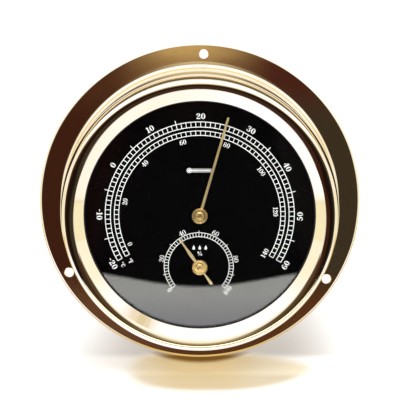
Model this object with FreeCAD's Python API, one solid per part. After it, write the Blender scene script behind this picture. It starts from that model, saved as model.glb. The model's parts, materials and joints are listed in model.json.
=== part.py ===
# Round brass thermo-hygrometer with a flange for three wall screws: a bimetal thermometer
# above a hair hygrometer, both read on one black dial.
# Millimetres. +Z is up and the dial faces -Y. The origin is the centre of the wall screws in the
# plane of the wall. "Out" is a distance from the wall towards the reader, "across" is to the
# reader's right, and a clock angle is in degrees, clockwise from the top as the reader sees it.
import FreeCAD, Part
import math
import os

# Case: a spun wall flange, and a tube with a shoulder that is soldered to the flange's neck
flange_r = 62.5
flange_width = 9.5
flange_rise = 3.0
sheet = 0.8
rim_rounding = 1.0
foot_rounding = 1.5
shoulder_rounding = 0.5

# Wall screw holes in the flange
wall_screw_edge = 4.1
wall_screw_hole_r = 1.7
wall_screw_count = 3
wall_screw_turn = 1.5

# Front ring that holds the glass and the dial
spigot_inset = 1.6
spigot_wall = 1.6
neck_step = 0.6
neck_height = 5.0
bead_step = 0.8
bead_width = 4.6
bead_back_rounding = 0.7
crown_width = 2.9
crown_fullness = 0.94
land_rise = 0.6
funnel_width = 3.6
funnel_depth = 2.65
lip_thickness = 0.6

# Stack behind the lip of the front ring
gasket_thickness = 0.4
gasket_show = 0.4
glass_thickness = 1.5
hand_space = 2.85
spacer_width = 2.6
dial_thickness = 0.8
dial_step = 0.5
keeper_thickness = 1.0
keeper_width = 2.0
keeper_bite = 0.5
keeper_gap_angle = 14.0
keeper_land = 2.0

# Clearances, one for each kind of seat
loose_fit = 0.1
press_fit = 0.01
running_fit = 0.02
body_gap = 0.3
overrun = 1.0

# Case lugs, back cover and its screws
cover_out = 3.6
cover_thickness = 1.0
lug_count = 3
lug_first_angle = 60.0
lug_width = 7.0
lug_height = 5.5
lug_screw_inset = 3.0
lug_screw_edge = 2.0
cover_screw_r = 1.25
cover_screw_head_r = 2.3
cover_screw_head = 1.3
cover_screw_length = 5.0
screw_slot_width = 0.6
screw_slot_depth = 0.5
vent_count = 12
vent_r = 1.6
vent_inset = 18.9
adjuster_door_r = 3.2

# Places of the two axes on the dial, the lower one as a share of the dial's radius
thermo_drop = 0.75
hygro_place_share = 0.4254

# Pillars on the back of the dial
thermo_pillar_r = 1.9
thermo_pillar_across = 18.5
hygro_pillar_r = 1.8
hygro_pillar_inset = 11.65
hygro_pillar_middle = 8.5
hygro_pillar_rise = 1.8
hygro_pillar_right = 10.5
rivet_r = 1.0
rivet_depth = 0.5
frame_screw_r = 0.8
frame_screw_head_r = 1.6
frame_screw_head = 1.0
frame_screw_length = 3.6

# Thermometer bridge, bushes and arbor
works_gap = 2.8
bridge_thickness = 1.2
bridge_height = 9.0
bridge_end = 4.0
bridge_rounding = 2.5
bush_flange_thickness = 0.8
thermo_bush_r = 1.9
thermo_bush_flange_r = 3.0
thermo_rear_bush_r = 2.2
rear_flange_thickness = 0.6
journal_r = 0.5
journal_play = 0.1
arbor_r = 0.8
arbor_tip_r = 0.3
arbor_tip_length = 0.5
journal_tail = 0.6

# Bimetal coil, its collet, its stud and the regulator
coil_width = 3.0
coil_strip = 0.45
coil_pitch = 1.35
coil_half_turns = 10
coil_lead = 3.2
coil_space = 5.0
collet_r = 2.4
collet_overhang = 0.3
stud_r = 0.7
stud_overhang = 0.4
regulator_thickness = 0.8
regulator_boss = 2.1
regulator_ring_r = 3.4
regulator_arm_width = 3.0
regulator_tail = 13.0
regulator_tab = 2.8
regulator_tab_thickness = 1.2
regulator_clip = 0.4
regulator_clip_r = 3.0
regulator_slot_angle = 21.0
regulator_slot_width = 3.4

# Hands and their hubs
hand_lift = 0.9
hand_thickness = 0.25
hub_tube_r = 1.2
hub_tube_drop = 0.6
hub_disc = 0.45
hub_bevel = 0.2
hub_bevel_width = 0.45
hub_collar_r = 1.1
hub_collar_bore_r = 0.75
hub_collar = 0.45
hub_collar_depth = 0.6
thermo_hub_r = 3.1
hygro_hub_r = 3.0
hand_eye_r = 2.4
thermo_hand_margin = 4.3
thermo_hand_root = 1.0
thermo_hand_tip = 0.8
thermo_hand_angle = 16.0
hygro_hand_margin = 6.45
hygro_hand_root = 0.95
hygro_hand_belly = 1.3
hygro_hand_waist = 0.72
hygro_hand_tip = 0.6
hygro_hand_rounding = 8.0
hygro_tail_length = 8.2
hygro_tail_root = 0.6
hygro_tail_end = 1.15
hygro_hand_angle = -34.9

# Hygrometer plate, bushes and arbor
plate_thickness = 1.2
plate_margin = 3.6
plate_head = 4.6
plate_rounding = 3.0
hygro_bush_r = 1.6
hygro_bush_flange_r = 2.4
rear_bush_nose = 0.4

# Pinion and sector
tooth_module = 0.3
pinion_teeth = 10
sector_full_teeth = 100
mesh_play = 0.06
pinion_length = 1.6
gear_stand_off = 5.0
sector_thickness = 1.0
sector_rim = 1.6
sector_spoke = 1.3
sector_hub_r = 1.9
sector_hub_length = 2.6
sector_axle_r = 0.6
sector_bush_flange_r = 2.0
sector_bush_bore_depth = 0.8
sector_rise_angle = 23.4
sector_fall_angle = 16.2
counterweight_r = 2.2
counterweight_at = 4.6
counterweight_thickness = 2.0

# Hair, its clamps and its adjuster
hair_r = 0.3
hair_arm = 2.8
hair_behind_sector = 1.8
clamp_width = 1.2
clamp_height = 1.4
clamp_thickness = 1.6
crank_arm = 2.5
crank_thickness = 1.0
crank_width = 2.6
spindle_r = 1.5
spindle_head_r = 2.6
spindle_head = 2.0
spindle_slot_width = 0.8
spindle_slot_depth = 1.0
adjuster_bush_r = 2.6
adjuster_bush_nose = 0.6
adjuster_gap = 0.2
adjuster_inset = 7.8

# Hairspring, its collet and its stud
hairspring_width = 0.8
hairspring_strip = 0.12
hairspring_pitch = 0.6
hairspring_half_turns = 10
hairspring_space = 2.1
pinion_space = 1.5
hairspring_collet_r = 1.3
hairspring_collet_overhang = 0.2
hairspring_stud_r = 0.5

# Shares of the tooth pitch and of the module, for thin teeth that never bind
tooth_root_share = 0.29
tooth_tip_share = 0.11
addendum_share = 0.88
dedendum_share = 1.2

# Shares of the short hand's blade, from its hub to its tip, where it is widest and narrowest
hygro_hand_belly_share = 0.245
hygro_hand_waist_share = 0.604

# Radii worked out from the flange inwards
wall_r = flange_r - flange_width
wall_inner_r = wall_r - sheet
wall_screw_circle_r = flange_r - wall_screw_edge
spigot_r = wall_inner_r - spigot_inset
spigot_inner_r = spigot_r - spigot_wall
neck_r = spigot_r + neck_step
bead_r = neck_r + bead_step
bead_front_rounding = bead_width - crown_width
crown_half = crown_width / 2
crown_slope = math.atan2(land_rise, crown_half)
crown_rounding = crown_fullness * crown_half / math.tan(crown_slope / 2)
land_inner_r = bead_r - bead_width
opening_r = land_inner_r - funnel_width
inside_r = spigot_inner_r - loose_fit
cover_r = wall_inner_r - body_gap
vent_circle_r = cover_r - vent_inset
lug_screw_r = wall_inner_r - lug_screw_inset
lug_inner_r = lug_screw_r - lug_screw_edge

# Distances out worked out from the back cover forwards
flange_face = flange_rise
neck_front = flange_face + foot_rounding
cover_front = cover_out + cover_thickness
boss_back = cover_front + works_gap
bridge_back = boss_back + regulator_boss
bridge_front = bridge_back + bridge_thickness
coil_back = bridge_front + coil_lead
coil_front = coil_back + coil_width
bush_front = coil_front + coil_space
dial_back = bush_front + bush_flange_thickness
dial_front = dial_back + dial_thickness
shoulder_face = dial_front - dial_step
glass_back = dial_front + hand_space
glass_front = glass_back + glass_thickness
lip_back = glass_front + gasket_thickness
lip_front = lip_back + lip_thickness
land_front = lip_front + funnel_depth
bead_back = shoulder_face + neck_height
keeper_back = dial_back - keeper_thickness
spigot_back = keeper_back - keeper_land
regulator_front = bridge_back - body_gap
regulator_back = regulator_front - regulator_thickness
hand_back = dial_front + hand_lift
hand_front = hand_back + hand_thickness
hub_front = hand_front + hub_disc
collar_front = hub_front + hub_collar
collar_floor = collar_front - hub_collar_depth

# The thermometer's coil and hand
thermo_up = -thermo_drop
coil_outer_r = collet_r + press_fit + coil_half_turns * coil_pitch / 2 + coil_strip
coil_stud_reach = coil_outer_r + press_fit + stud_r
thermo_hand_length = opening_r - thermo_hand_margin

# The hygrometer's works, from the front bush back to the plate
hygro_up = -hygro_place_share * inside_r
hygro_hand_length = thermo_up - hygro_up - hygro_hand_margin
hairspring_front = bush_front - hairspring_space
hairspring_back = hairspring_front - hairspring_width
hairspring_outer_r = (hairspring_collet_r + press_fit + hairspring_strip
                      + hairspring_half_turns * hairspring_pitch / 2)
hairspring_stud_reach = hairspring_outer_r + press_fit + hairspring_stud_r
pinion_r = tooth_module * pinion_teeth / 2
pinion_front = hairspring_back - pinion_space
gear_middle = pinion_front - pinion_length / 2
sector_r = tooth_module * sector_full_teeth / 2
sector_across = pinion_r + sector_r + mesh_play
sector_back = gear_middle - sector_thickness / 2
sector_front = sector_back + sector_thickness
plate_front = sector_back - gear_stand_off
plate_back = plate_front - plate_thickness

# The hair, from the sector to its adjuster beside the case wall
hair_out = sector_back - hair_behind_sector
hair_up = hygro_up - hair_arm
hair_right = sector_across - clamp_width / 2
adjuster_up = hair_up + crank_arm
adjuster_r = wall_inner_r - adjuster_inset
adjuster_across = -math.sqrt(adjuster_r**2 - adjuster_up**2)
hair_left = adjuster_across + clamp_width / 2
crank_front = hair_out - clamp_thickness / 2
crank_back = crank_front - crank_thickness
spindle_back = plate_back - adjuster_gap - rear_bush_nose

OUT = FreeCAD.Vector(0, -1, 0)
CLOCKWISE = FreeCAD.Vector(0, 1, 0)


def spot(across, out, up=0.0):
    """A point from its place across, out from the wall and up."""
    return FreeCAD.Vector(across, -out, up)


def clock(radius, angle):
    """The place, across and up, at a radius and a clock angle."""
    turn = math.radians(angle)
    return radius * math.sin(turn), radius * math.cos(turn)


def rod(radius, back, front, across=0.0, up=0.0):
    """A round rod from back to front, along the line of sight."""
    return Part.makeCylinder(radius, front - back, spot(across, back, up), OUT)


def tube(outer, inner, back, front, across=0.0, up=0.0):
    """A round tube from back to front."""
    bore = rod(inner, back - overrun, front + overrun, across, up)
    return rod(outer, back, front, across, up).cut(bore)


def block(wide, tall, back, front, across=0.0, up=0.0):
    """A square block, centred across and up."""
    corner = spot(across - wide / 2, front, up - tall / 2)
    return Part.makeBox(wide, front - back, tall, corner)


def turn(shape, angle, across=0.0, up=0.0):
    """A copy of the shape, turned clockwise about a line of sight."""
    copy = shape.copy()
    copy.rotate(spot(across, 0, up), CLOCKWISE, angle)
    return copy


def ring_of(shape, count, first=0.0, across=0.0, up=0.0):
    """Copies of a shape, evenly spaced round a line of sight."""
    return [turn(shape, first + i * 360 / count, across, up) for i in range(count)]


def facing_out(solid):
    """The solid with its faces the right way round."""
    if solid.Volume < 0:
        solid.reverse()
    return solid


def rounded_face(corners, lay):
    """A flat face through corners of (first, second, rounding), laid in space by lay."""
    runs = []
    for i, (first, second, rounding) in enumerate(corners):
        here = lay(first, second)
        if not rounding:
            runs.append((here, here, here))
            continue
        before = lay(*corners[i - 1][:2]).sub(here).normalize()
        after = lay(*corners[(i + 1) % len(corners)][:2]).sub(here).normalize()
        half = before.getAngle(after) / 2
        middle = before.add(after).normalize()
        start = here.add(before.multiply(rounding / math.tan(half)))
        end = here.add(after.multiply(rounding / math.tan(half)))
        crown = here.add(middle.multiply(rounding / math.sin(half) - rounding))
        runs.append((start, crown, end))
    edges = []
    for i, (start, crown, end) in enumerate(runs):
        if start.distanceToPoint(end) > Part.Precision.confusion():
            edges.append(Part.Arc(start, crown, end).toShape())
        onward = runs[(i + 1) % len(runs)][0]
        if end.distanceToPoint(onward) > Part.Precision.confusion():
            edges.append(Part.makeLine(end, onward))
    return Part.Face(Part.Wire(edges))


def turned(corners, across=0.0, up=0.0):
    """A solid turned about a line of sight from corners of (radius, out, rounding)."""
    solid = rounded_face(corners, spot).revolve(spot(0, 0), CLOCKWISE, 360)
    solid.translate(spot(across, 0, up))
    return facing_out(solid)


def flat(corners, back, front):
    """A flat plate from corners of (across, up, rounding)."""
    face = rounded_face(corners, lambda across, up: spot(across, back, up))
    return facing_out(face.extrude(spot(0, front - back)))


def bar(start, end, width, back, front):
    """A straight flat bar between two places, with round ends."""
    length = math.hypot(end[0] - start[0], end[1] - start[1])
    angle = math.degrees(math.atan2(end[0] - start[0], end[1] - start[1]))
    straight = block(width, length, back, front, start[0], start[1] + length / 2)
    ends = [rod(width / 2, back, front, *place) for place in (start, end)]
    return turn(straight, angle, *start).multiFuse(ends).removeSplitter()


def arc_bar(inner, outer, first, last, back, front, across=0.0, up=0.0):
    """A flat bar bent round a line of sight, between two clock angles."""
    corners = [(inner, back, 0), (outer, back, 0), (outer, front, 0), (inner, front, 0)]
    solid = facing_out(rounded_face(corners, spot).revolve(spot(0, 0), CLOCKWISE, last - first))
    solid.translate(spot(across, 0, up))
    return turn(solid, first - 90, across, up)


def screw(thread_r, head_r, head, length, seat, across, up):
    """A slotted screw driven from behind, with its head's front face at the seat."""
    body = rod(thread_r, seat, seat + length, across, up)
    top = rod(head_r, seat - head, seat, across, up)
    slot_floor = seat - head + screw_slot_depth
    slot = block(2 * head_r + overrun, screw_slot_width, seat - head - overrun, slot_floor, across, up)
    return body.fuse(top).cut(slot)


def spiral(inner_r, strip, pitch, half_turns, back, front, across, up):
    """A flat spiral strip of half-turn arcs that starts and ends straight above its axis."""
    def side(offset, steps):
        arcs = []
        for step in steps:
            sign = 1 if step % 2 == 0 else -1
            near = sign * (inner_r + offset + step * pitch / 2)
            far = -sign * (inner_r + offset + (step + 1) * pitch / 2)
            middle = (near + far) / 2
            bulge = (near - far) / 2
            ends = (spot(0, back, near), spot(bulge, back, middle), spot(0, back, far))
            arcs.append(Part.Arc(*ends).toShape())
        return arcs
    inner = side(0.0, range(half_turns))
    outer = side(strip, range(half_turns))
    sign = 1 if half_turns % 2 == 0 else -1
    last_r = inner_r + half_turns * pitch / 2
    start_cap = Part.makeLine(spot(0, back, inner_r), spot(0, back, inner_r + strip))
    end_cap = Part.makeLine(spot(0, back, sign * last_r), spot(0, back, sign * (last_r + strip)))
    wire = Part.Wire(Part.__sortEdges__(inner + [end_cap] + outer + [start_cap]))
    solid = facing_out(Part.Face(wire).extrude(spot(0, front - back)))
    solid.translate(spot(across, 0, up))
    return solid


def tooth(radius, full_teeth, angle, outward_r, root_r, back, front):
    """One straight-sided tooth at a clock angle, a little sunk into the rim that carries it."""
    pitch = 2 * math.pi * radius / full_teeth
    sunk = root_r - tooth_module / 2
    corners = [(-pitch * tooth_root_share, sunk, 0), (pitch * tooth_root_share, sunk, 0),
               (pitch * tooth_root_share, root_r, 0), (pitch * tooth_tip_share, outward_r, 0),
               (-pitch * tooth_tip_share, outward_r, 0), (-pitch * tooth_root_share, root_r, 0)]
    return turn(flat(corners, back, front), angle)


def wall_flange():
    """The flange with its turned-back rim, its short neck and the wall screws' holes."""
    corners = [(flange_r, 0, 0), (flange_r, flange_face, rim_rounding),
               (wall_r, flange_face, foot_rounding), (wall_r, neck_front, 0),
               (wall_inner_r, neck_front, 0),
               (wall_inner_r, flange_face - sheet, foot_rounding + sheet),
               (flange_r - sheet, flange_face - sheet, rim_rounding - sheet),
               (flange_r - sheet, 0, 0)]
    hole = rod(wall_screw_hole_r, flange_face - sheet - overrun, flange_face + overrun,
               0, wall_screw_circle_r)
    holes = ring_of(hole, wall_screw_count, wall_screw_turn)
    return turned(corners).cut(holes)


def case_wall():
    """The case's tube on the flange's neck, turned in at the front as a seat for the ring."""
    bore = spigot_r + press_fit
    corners = [(wall_r, neck_front, 0), (wall_r, shoulder_face, shoulder_rounding),
               (bore, shoulder_face, 0), (bore, shoulder_face - sheet, 0),
               (wall_inner_r, shoulder_face - sheet, 0), (wall_inner_r, neck_front, 0)]
    return turned(corners)


def bezel_ring():
    """The front ring: bead, funnel and lip, and a spigot that presses into the case."""
    corners = [(spigot_inner_r, spigot_back, 0), (spigot_r, spigot_back, 0),
               (spigot_r, shoulder_face, 0), (neck_r, shoulder_face, 0),
               (neck_r, bead_back, 0), (bead_r, bead_back, bead_back_rounding),
               (bead_r, land_front + land_rise, bead_front_rounding),
               (land_inner_r + crown_half, land_front + land_rise, crown_rounding),
               (land_inner_r, land_front, 0), (opening_r, lip_front, 0),
               (opening_r, lip_back, 0), (spigot_inner_r, lip_back, 0)]
    groove = rod(spigot_inner_r + keeper_bite, keeper_back - running_fit, dial_back)
    return turned(corners).cut(groove)


def glass_gasket():
    """The black ring between the lip and the glass."""
    return tube(inside_r, opening_r - gasket_show, glass_front, lip_back)


def front_glass():
    """The flat round glass."""
    return rod(inside_r, glass_back, glass_front)


def spacer_ring():
    """The ring that keeps the glass off the hands."""
    return tube(inside_r, inside_r - spacer_width, dial_front, glass_back)


def dial_keeper():
    """The snap ring behind the dial, with a gap so that it can be sprung into its groove."""
    outer = spigot_inner_r + keeper_bite - running_fit
    inner = outer - keeper_width
    return arc_bar(inner, outer, 180 + keeper_gap_angle / 2, 540 - keeper_gap_angle / 2,
                   keeper_back, dial_back)


def pillar_places():
    """The pillars of the thermometer, then those of the hygrometer: (across, up)."""
    thermo = [(-thermo_pillar_across, thermo_up), (thermo_pillar_across, thermo_up)]
    rise = hygro_up + hygro_pillar_rise
    hygro = [(adjuster_across + hygro_pillar_inset, rise), (-hygro_pillar_middle, rise),
             (sector_across + hygro_pillar_right, hygro_up)]
    return thermo, hygro


def dial_plate():
    """The dial, with holes for both front bushes and blind seats for what is riveted to it."""
    thermo, hygro = pillar_places()
    plate = rod(inside_r, dial_back, dial_front)
    for radius, up in ((thermo_bush_r, thermo_up), (hygro_bush_r, hygro_up)):
        plate = plate.cut(rod(radius + press_fit, dial_back - overrun, dial_front + overrun, 0, up))
    stud_place = (0, hygro_up + hairspring_stud_reach)
    seats = [(rivet_r, place) for place in thermo + hygro]
    seats += [(hairspring_stud_r, stud_place), (rivet_r, (sector_across, hygro_up))]
    for radius, place in seats:
        seat = rod(radius + press_fit, dial_back - overrun, dial_back + rivet_depth, *place)
        plate = plate.cut(seat)
    return plate


def pillar(radius, rear, place):
    """A pillar riveted to the back of the dial and tapped at its rear end."""
    body = rod(radius, rear, dial_back, *place)
    rivet = rod(rivet_r, dial_back, dial_back + rivet_depth, *place)
    tap = rod(frame_screw_r + press_fit, rear - overrun, rear + frame_screw_length, *place)
    return body.fuse(rivet).cut(tap)


def dial_pillars():
    """The five pillars that carry the bridge and the hygrometer plate."""
    thermo, hygro = pillar_places()
    solids = [pillar(thermo_pillar_r, bridge_front, place) for place in thermo]
    solids += [pillar(hygro_pillar_r, plate_front, place) for place in hygro]
    return Part.makeCompound(solids)


def lug():
    """One lug at the top of the case wall; its neighbours are turned copies."""
    back, front = cover_front, cover_front + lug_height
    reach = wall_inner_r + overrun - lug_inner_r
    body = block(lug_width, reach, back, front, 0, lug_inner_r + reach / 2)
    body = body.common(rod(wall_inner_r - press_fit, back, front))
    return body.cut(rod(cover_screw_r + press_fit, back - overrun, front + overrun, 0, lug_screw_r))


def case_lugs():
    """The tapped lugs inside the case wall that the back cover is screwed to."""
    return Part.makeCompound(ring_of(lug(), lug_count, lug_first_angle))


def back_cover():
    """The back plate: vents, an arc slot for the regulator and a hole over the hair adjuster."""
    plate = rod(cover_r, cover_out, cover_front)
    low, high = cover_out - overrun, cover_front + overrun
    cuts = ring_of(rod(vent_r, low, high, 0, vent_circle_r), vent_count)
    cuts += ring_of(rod(cover_screw_r + loose_fit, low, high, 0, lug_screw_r),
                    lug_count, lug_first_angle)
    cuts.append(rod(adjuster_door_r, low, high, adjuster_across, adjuster_up))
    first, last = 180 - regulator_slot_angle, 180 + regulator_slot_angle
    half = regulator_slot_width / 2
    cuts.append(arc_bar(regulator_tail - half, regulator_tail + half, first, last, low, high,
                        0, thermo_up))
    for angle in (first, last):
        across, up = clock(regulator_tail, angle)
        cuts.append(rod(half, low, high, across, thermo_up + up))
    return plate.cut(cuts)


def back_cover_screws():
    """The slotted screws of the back cover."""
    first = screw(cover_screw_r, cover_screw_head_r, cover_screw_head,
                  cover_screw_length, cover_out, 0, lug_screw_r)
    return Part.makeCompound(ring_of(first, lug_count, lug_first_angle))


def bridge_screws():
    """The screws that hold the thermometer bridge to its pillars."""
    thermo, _ = pillar_places()
    return Part.makeCompound([screw(frame_screw_r, frame_screw_head_r, frame_screw_head,
                                    frame_screw_length, bridge_back, *place) for place in thermo])


def plate_screws():
    """The screws that hold the hygrometer plate to its pillars."""
    _, hygro = pillar_places()
    return Part.makeCompound([screw(frame_screw_r, frame_screw_head_r, frame_screw_head,
                                    frame_screw_length, plate_back, *place) for place in hygro])


def thermo_bridge():
    """The bar behind the coil that carries the rear end of the thermometer arbor."""
    half_length = thermo_pillar_across + bridge_end
    half_height = bridge_height / 2
    corners = [(across, thermo_up + up, bridge_rounding) for across, up in (
        (-half_length, -half_height), (half_length, -half_height),
        (half_length, half_height), (-half_length, half_height))]
    bridge = flat(corners, bridge_back, bridge_front)
    thermo, _ = pillar_places()
    low, high = bridge_back - overrun, bridge_front + overrun
    holes = [rod(frame_screw_r + loose_fit, low, high, *place) for place in thermo]
    holes.append(rod(thermo_rear_bush_r + press_fit, low, high, 0, thermo_up))
    return bridge.cut(holes)


def front_bush(neck, flange, up):
    """A bush riveted through the dial from behind, with its flange on the dial's back."""
    body = rod(flange, bush_front, dial_back, 0, up).fuse(rod(neck, dial_back, dial_front, 0, up))
    return body.cut(rod(journal_r + running_fit, bush_front - overrun, dial_front + overrun, 0, up))


def thermo_rear_bush():
    """The bush in the bridge; its long boss also carries the regulator."""
    body = rod(thermo_rear_bush_r, boss_back, bridge_front, 0, thermo_up)
    collar = rod(thermo_bush_flange_r, bridge_front, bridge_front + rear_flange_thickness, 0, thermo_up)
    bore = rod(journal_r + running_fit, boss_back - overrun,
               bridge_front + rear_flange_thickness + overrun, 0, thermo_up)
    return body.fuse(collar).cut(bore)


def arbor(rear_end, body_back, up):
    """A steel arbor: thin journals at both ends, a thicker middle and a fine tip."""
    journal = rod(journal_r, rear_end, collar_floor - running_fit, 0, up)
    middle = rod(arbor_r, body_back, bush_front - journal_play, 0, up)
    tip = rod(arbor_tip_r, collar_floor - running_fit, collar_floor + arbor_tip_length, 0, up)
    return journal.fuse([middle, tip])


def thermo_arbor():
    """The arbor that carries the coil's collet and the long hand."""
    return arbor(boss_back + journal_tail, bridge_front + rear_flange_thickness + journal_play,
                 thermo_up)


def coil_collet():
    """The collet that the inner end of the bimetal coil is fixed to."""
    return tube(collet_r, arbor_r + press_fit, coil_back - collet_overhang,
                coil_front + collet_overhang, 0, thermo_up)


def bimetal_coil():
    """The spiral bimetal strip that turns the long hand as it warms."""
    return spiral(collet_r + press_fit, coil_strip, coil_pitch, coil_half_turns,
                  coil_back, coil_front, 0, thermo_up)


def coil_stud():
    """The post on the regulator that holds the coil's outer end."""
    return rod(stud_r, regulator_front, coil_front + stud_overhang, 0, thermo_up + coil_stud_reach)


def thermo_regulator():
    """The arm that turns the coil's outer end, with a tail that is reached from behind."""
    back, front = regulator_back, regulator_front
    centre = (0, thermo_up)
    body = rod(regulator_ring_r, back, front, *centre)
    body = body.fuse([bar(centre, (0, thermo_up + coil_stud_reach), regulator_arm_width, back, front),
                      bar(centre, (0, thermo_up - regulator_tail), regulator_arm_width, back, front),
                      block(regulator_arm_width - body_gap, regulator_tab_thickness,
                            back - regulator_tab, back, 0, thermo_up - regulator_tail)])
    return body.cut(rod(thermo_rear_bush_r + running_fit, back - overrun, front + overrun, *centre))


def regulator_clip_ring():
    """The clip that keeps the regulator on the bush."""
    front = regulator_back - running_fit
    return tube(regulator_clip_r, thermo_rear_bush_r + press_fit, front - regulator_clip, front,
                0, thermo_up)


def hub(disc_r, up):
    """A turned hub: tube through the hand, broad disc with a bevelled edge, and a raised collar."""
    corners = [(journal_r + press_fit, hand_back - hub_tube_drop, 0),
               (hub_tube_r, hand_back - hub_tube_drop, 0), (hub_tube_r, hand_front, 0),
               (disc_r, hand_front, 0), (disc_r, hub_front - hub_bevel, 0),
               (disc_r - hub_bevel_width, hub_front, 0), (hub_collar_r, hub_front, 0),
               (hub_collar_r, collar_front, 0), (hub_collar_bore_r, collar_front, 0),
               (hub_collar_bore_r, collar_floor, 0), (journal_r + press_fit, collar_floor, 0)]
    return turned(corners, 0, up)


def hand_blank(right_side, round_ends, up, angle):
    """A flat hand cut from sheet, with an eye for its hub, turned to its reading at rest.

    The right side is corners of (across, along, rounding) from the bottom up, and each round
    end is (radius, along).
    """
    left_side = [(-across, along, rounding) for across, along, rounding in reversed(right_side)]
    corners = [(across, up + along, rounding) for across, along, rounding in right_side + left_side]
    blade = flat(corners, hand_back, hand_front)
    discs = [rod(radius, hand_back, hand_front, 0, up + along) for radius, along in round_ends]
    discs.append(rod(hand_eye_r, hand_back, hand_front, 0, up))
    hole = rod(hub_tube_r + press_fit, hand_back - overrun, hand_front + overrun, 0, up)
    return turn(blade.multiFuse(discs).removeSplitter().cut(hole), angle, 0, up)


def thermo_hand():
    """The long thin hand of the thermometer."""
    tip = thermo_hand_tip / 2
    end = thermo_hand_length - tip
    return hand_blank([(thermo_hand_root / 2, 0, 0), (tip, end, 0)], [(tip, end)],
                      thermo_up, thermo_hand_angle)


def hygro_hand():
    """The short hand of the hygrometer: a slim leaf with a fine tip and a round-ended tail."""
    tail, tip = hygro_tail_end / 2, hygro_hand_tip / 2
    low, high = tail - hygro_tail_length, hygro_hand_length - tip
    blade = hygro_hand_length - hygro_hub_r
    belly_at = hygro_hub_r + hygro_hand_belly_share * blade
    waist_at = hygro_hub_r + hygro_hand_waist_share * blade
    right_side = [(tail, low, 0), (hygro_tail_root / 2, -hygro_hub_r, 0),
                  (hygro_hand_root / 2, hygro_hub_r, 0),
                  (hygro_hand_belly / 2, belly_at, hygro_hand_rounding),
                  (hygro_hand_waist / 2, waist_at, hygro_hand_rounding),
                  (tip, high, 0)]
    return hand_blank(right_side, [(tail, low), (tip, high)], hygro_up, hygro_hand_angle)


def hygro_plate():
    """The rear plate of the hygrometer, from the hair adjuster to the last pillar."""
    left = adjuster_across - plate_margin
    right = sector_across + hygro_pillar_right + plate_margin
    low, high = hair_up - plate_margin, hygro_up + plate_head
    plate = flat([(left, low, plate_rounding), (right, low, plate_rounding),
                  (right, high, plate_rounding), (left, high, plate_rounding)],
                 plate_back, plate_front)
    _, hygro = pillar_places()
    back, front = plate_back - overrun, plate_front + overrun
    holes = [rod(frame_screw_r + loose_fit, back, front, *place) for place in hygro]
    holes += [rod(hygro_bush_r + press_fit, back, front, 0, hygro_up),
              rod(hygro_bush_r + press_fit, back, front, sector_across, hygro_up),
              rod(adjuster_bush_r + press_fit, back, front, adjuster_across, adjuster_up)]
    return plate.cut(holes)


def hygro_rear_bush():
    """The bush in the plate for the hygrometer arbor."""
    return tube(hygro_bush_r, journal_r + running_fit, plate_back - rear_bush_nose,
                plate_front + rear_bush_nose, 0, hygro_up)


def hygro_arbor():
    """The arbor that carries the pinion, the hairspring and the short hand."""
    return arbor(plate_back, plate_front + rear_bush_nose + journal_play, hygro_up)


def hygro_pinion():
    """The pinion on the hygrometer arbor, with a gap between teeth facing the sector."""
    back, front = pinion_front - pinion_length, pinion_front
    root_r = pinion_r - tooth_module * dedendum_share
    outward_r = pinion_r + tooth_module * addendum_share
    step = 360 / pinion_teeth
    teeth = [tooth(pinion_r, pinion_teeth, 90 + (i + 1 / 2) * step, outward_r, root_r, back, front)
             for i in range(pinion_teeth)]
    core = rod(root_r, back, front)
    body = core.multiFuse(teeth).cut(rod(arbor_r + press_fit, back - overrun, front + overrun))
    body.translate(spot(0, 0, hygro_up))
    return body


def sector_lever():
    """The toothed sector with its hub, its hair arm and the arm of its counterweight."""
    back, front = sector_back, sector_front
    root_r = sector_r - tooth_module * dedendum_share
    outward_r = sector_r + tooth_module * addendum_share
    step = 360 / sector_full_teeth
    first, last = 270 - sector_fall_angle, 270 + sector_rise_angle
    pieces = [arc_bar(root_r - sector_rim, root_r, first, last, back, front)]
    low, high = math.ceil(-sector_fall_angle / step), math.floor(sector_rise_angle / step)
    pieces += [tooth(sector_r, sector_full_teeth, 270 + i * step, outward_r, root_r, back, front)
               for i in range(low + 1, high)]
    spoke_r = root_r - sector_rim / 2
    inset = math.degrees(sector_spoke / spoke_r) / 2
    pieces += [bar((0, 0), clock(spoke_r, angle), sector_spoke, back, front)
               for angle in (first + inset, last - inset)]
    pieces.append(bar((0, 0), (0, -hair_arm), clamp_height, back, front))
    pieces.append(bar((0, 0), (counterweight_at, 0), sector_spoke, back, front))
    hub_middle = (back + front) / 2
    body = rod(sector_hub_r, hub_middle - sector_hub_length / 2, hub_middle + sector_hub_length / 2)
    body = body.multiFuse(pieces).removeSplitter()
    body = body.cut(rod(sector_axle_r + running_fit, back - sector_hub_length,
                        front + sector_hub_length))
    body.translate(spot(sector_across, 0, hygro_up))
    return body


def sector_counterweight():
    """The weight that balances the sector, riveted to the front of its short arm."""
    return rod(counterweight_r, sector_front, sector_front + counterweight_thickness,
               sector_across + counterweight_at, hygro_up)


def sector_bushes():
    """The two bushes of the sector's axle: one in the plate and a blind one on the dial's back."""
    bore_r = sector_axle_r + press_fit
    rear = tube(hygro_bush_r, bore_r, plate_back - rear_bush_nose, plate_front + rear_bush_nose,
                sector_across, hygro_up)
    place = (sector_across, hygro_up)
    nose = dial_back - sector_bush_bore_depth - bush_flange_thickness
    front = rod(sector_bush_flange_r, nose, dial_back, *place)
    front = front.fuse(rod(rivet_r, dial_back, dial_back + rivet_depth, *place))
    front = front.cut(rod(bore_r, nose - overrun, nose + sector_bush_bore_depth, *place))
    return Part.makeCompound([rear, front])


def sector_axle():
    """The fixed steel axle that the sector swings on."""
    front = dial_back - bush_flange_thickness
    return rod(sector_axle_r, plate_back, front, sector_across, hygro_up)


def clamp(across, back, front):
    """A small square clamp on one end of the hair."""
    return block(clamp_width, clamp_height, back, front, across, hair_up)


def hair_clamp():
    """The clamp that ties the hair to the sector's short arm."""
    return clamp(sector_across, hair_out - clamp_thickness / 2, sector_back)


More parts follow.
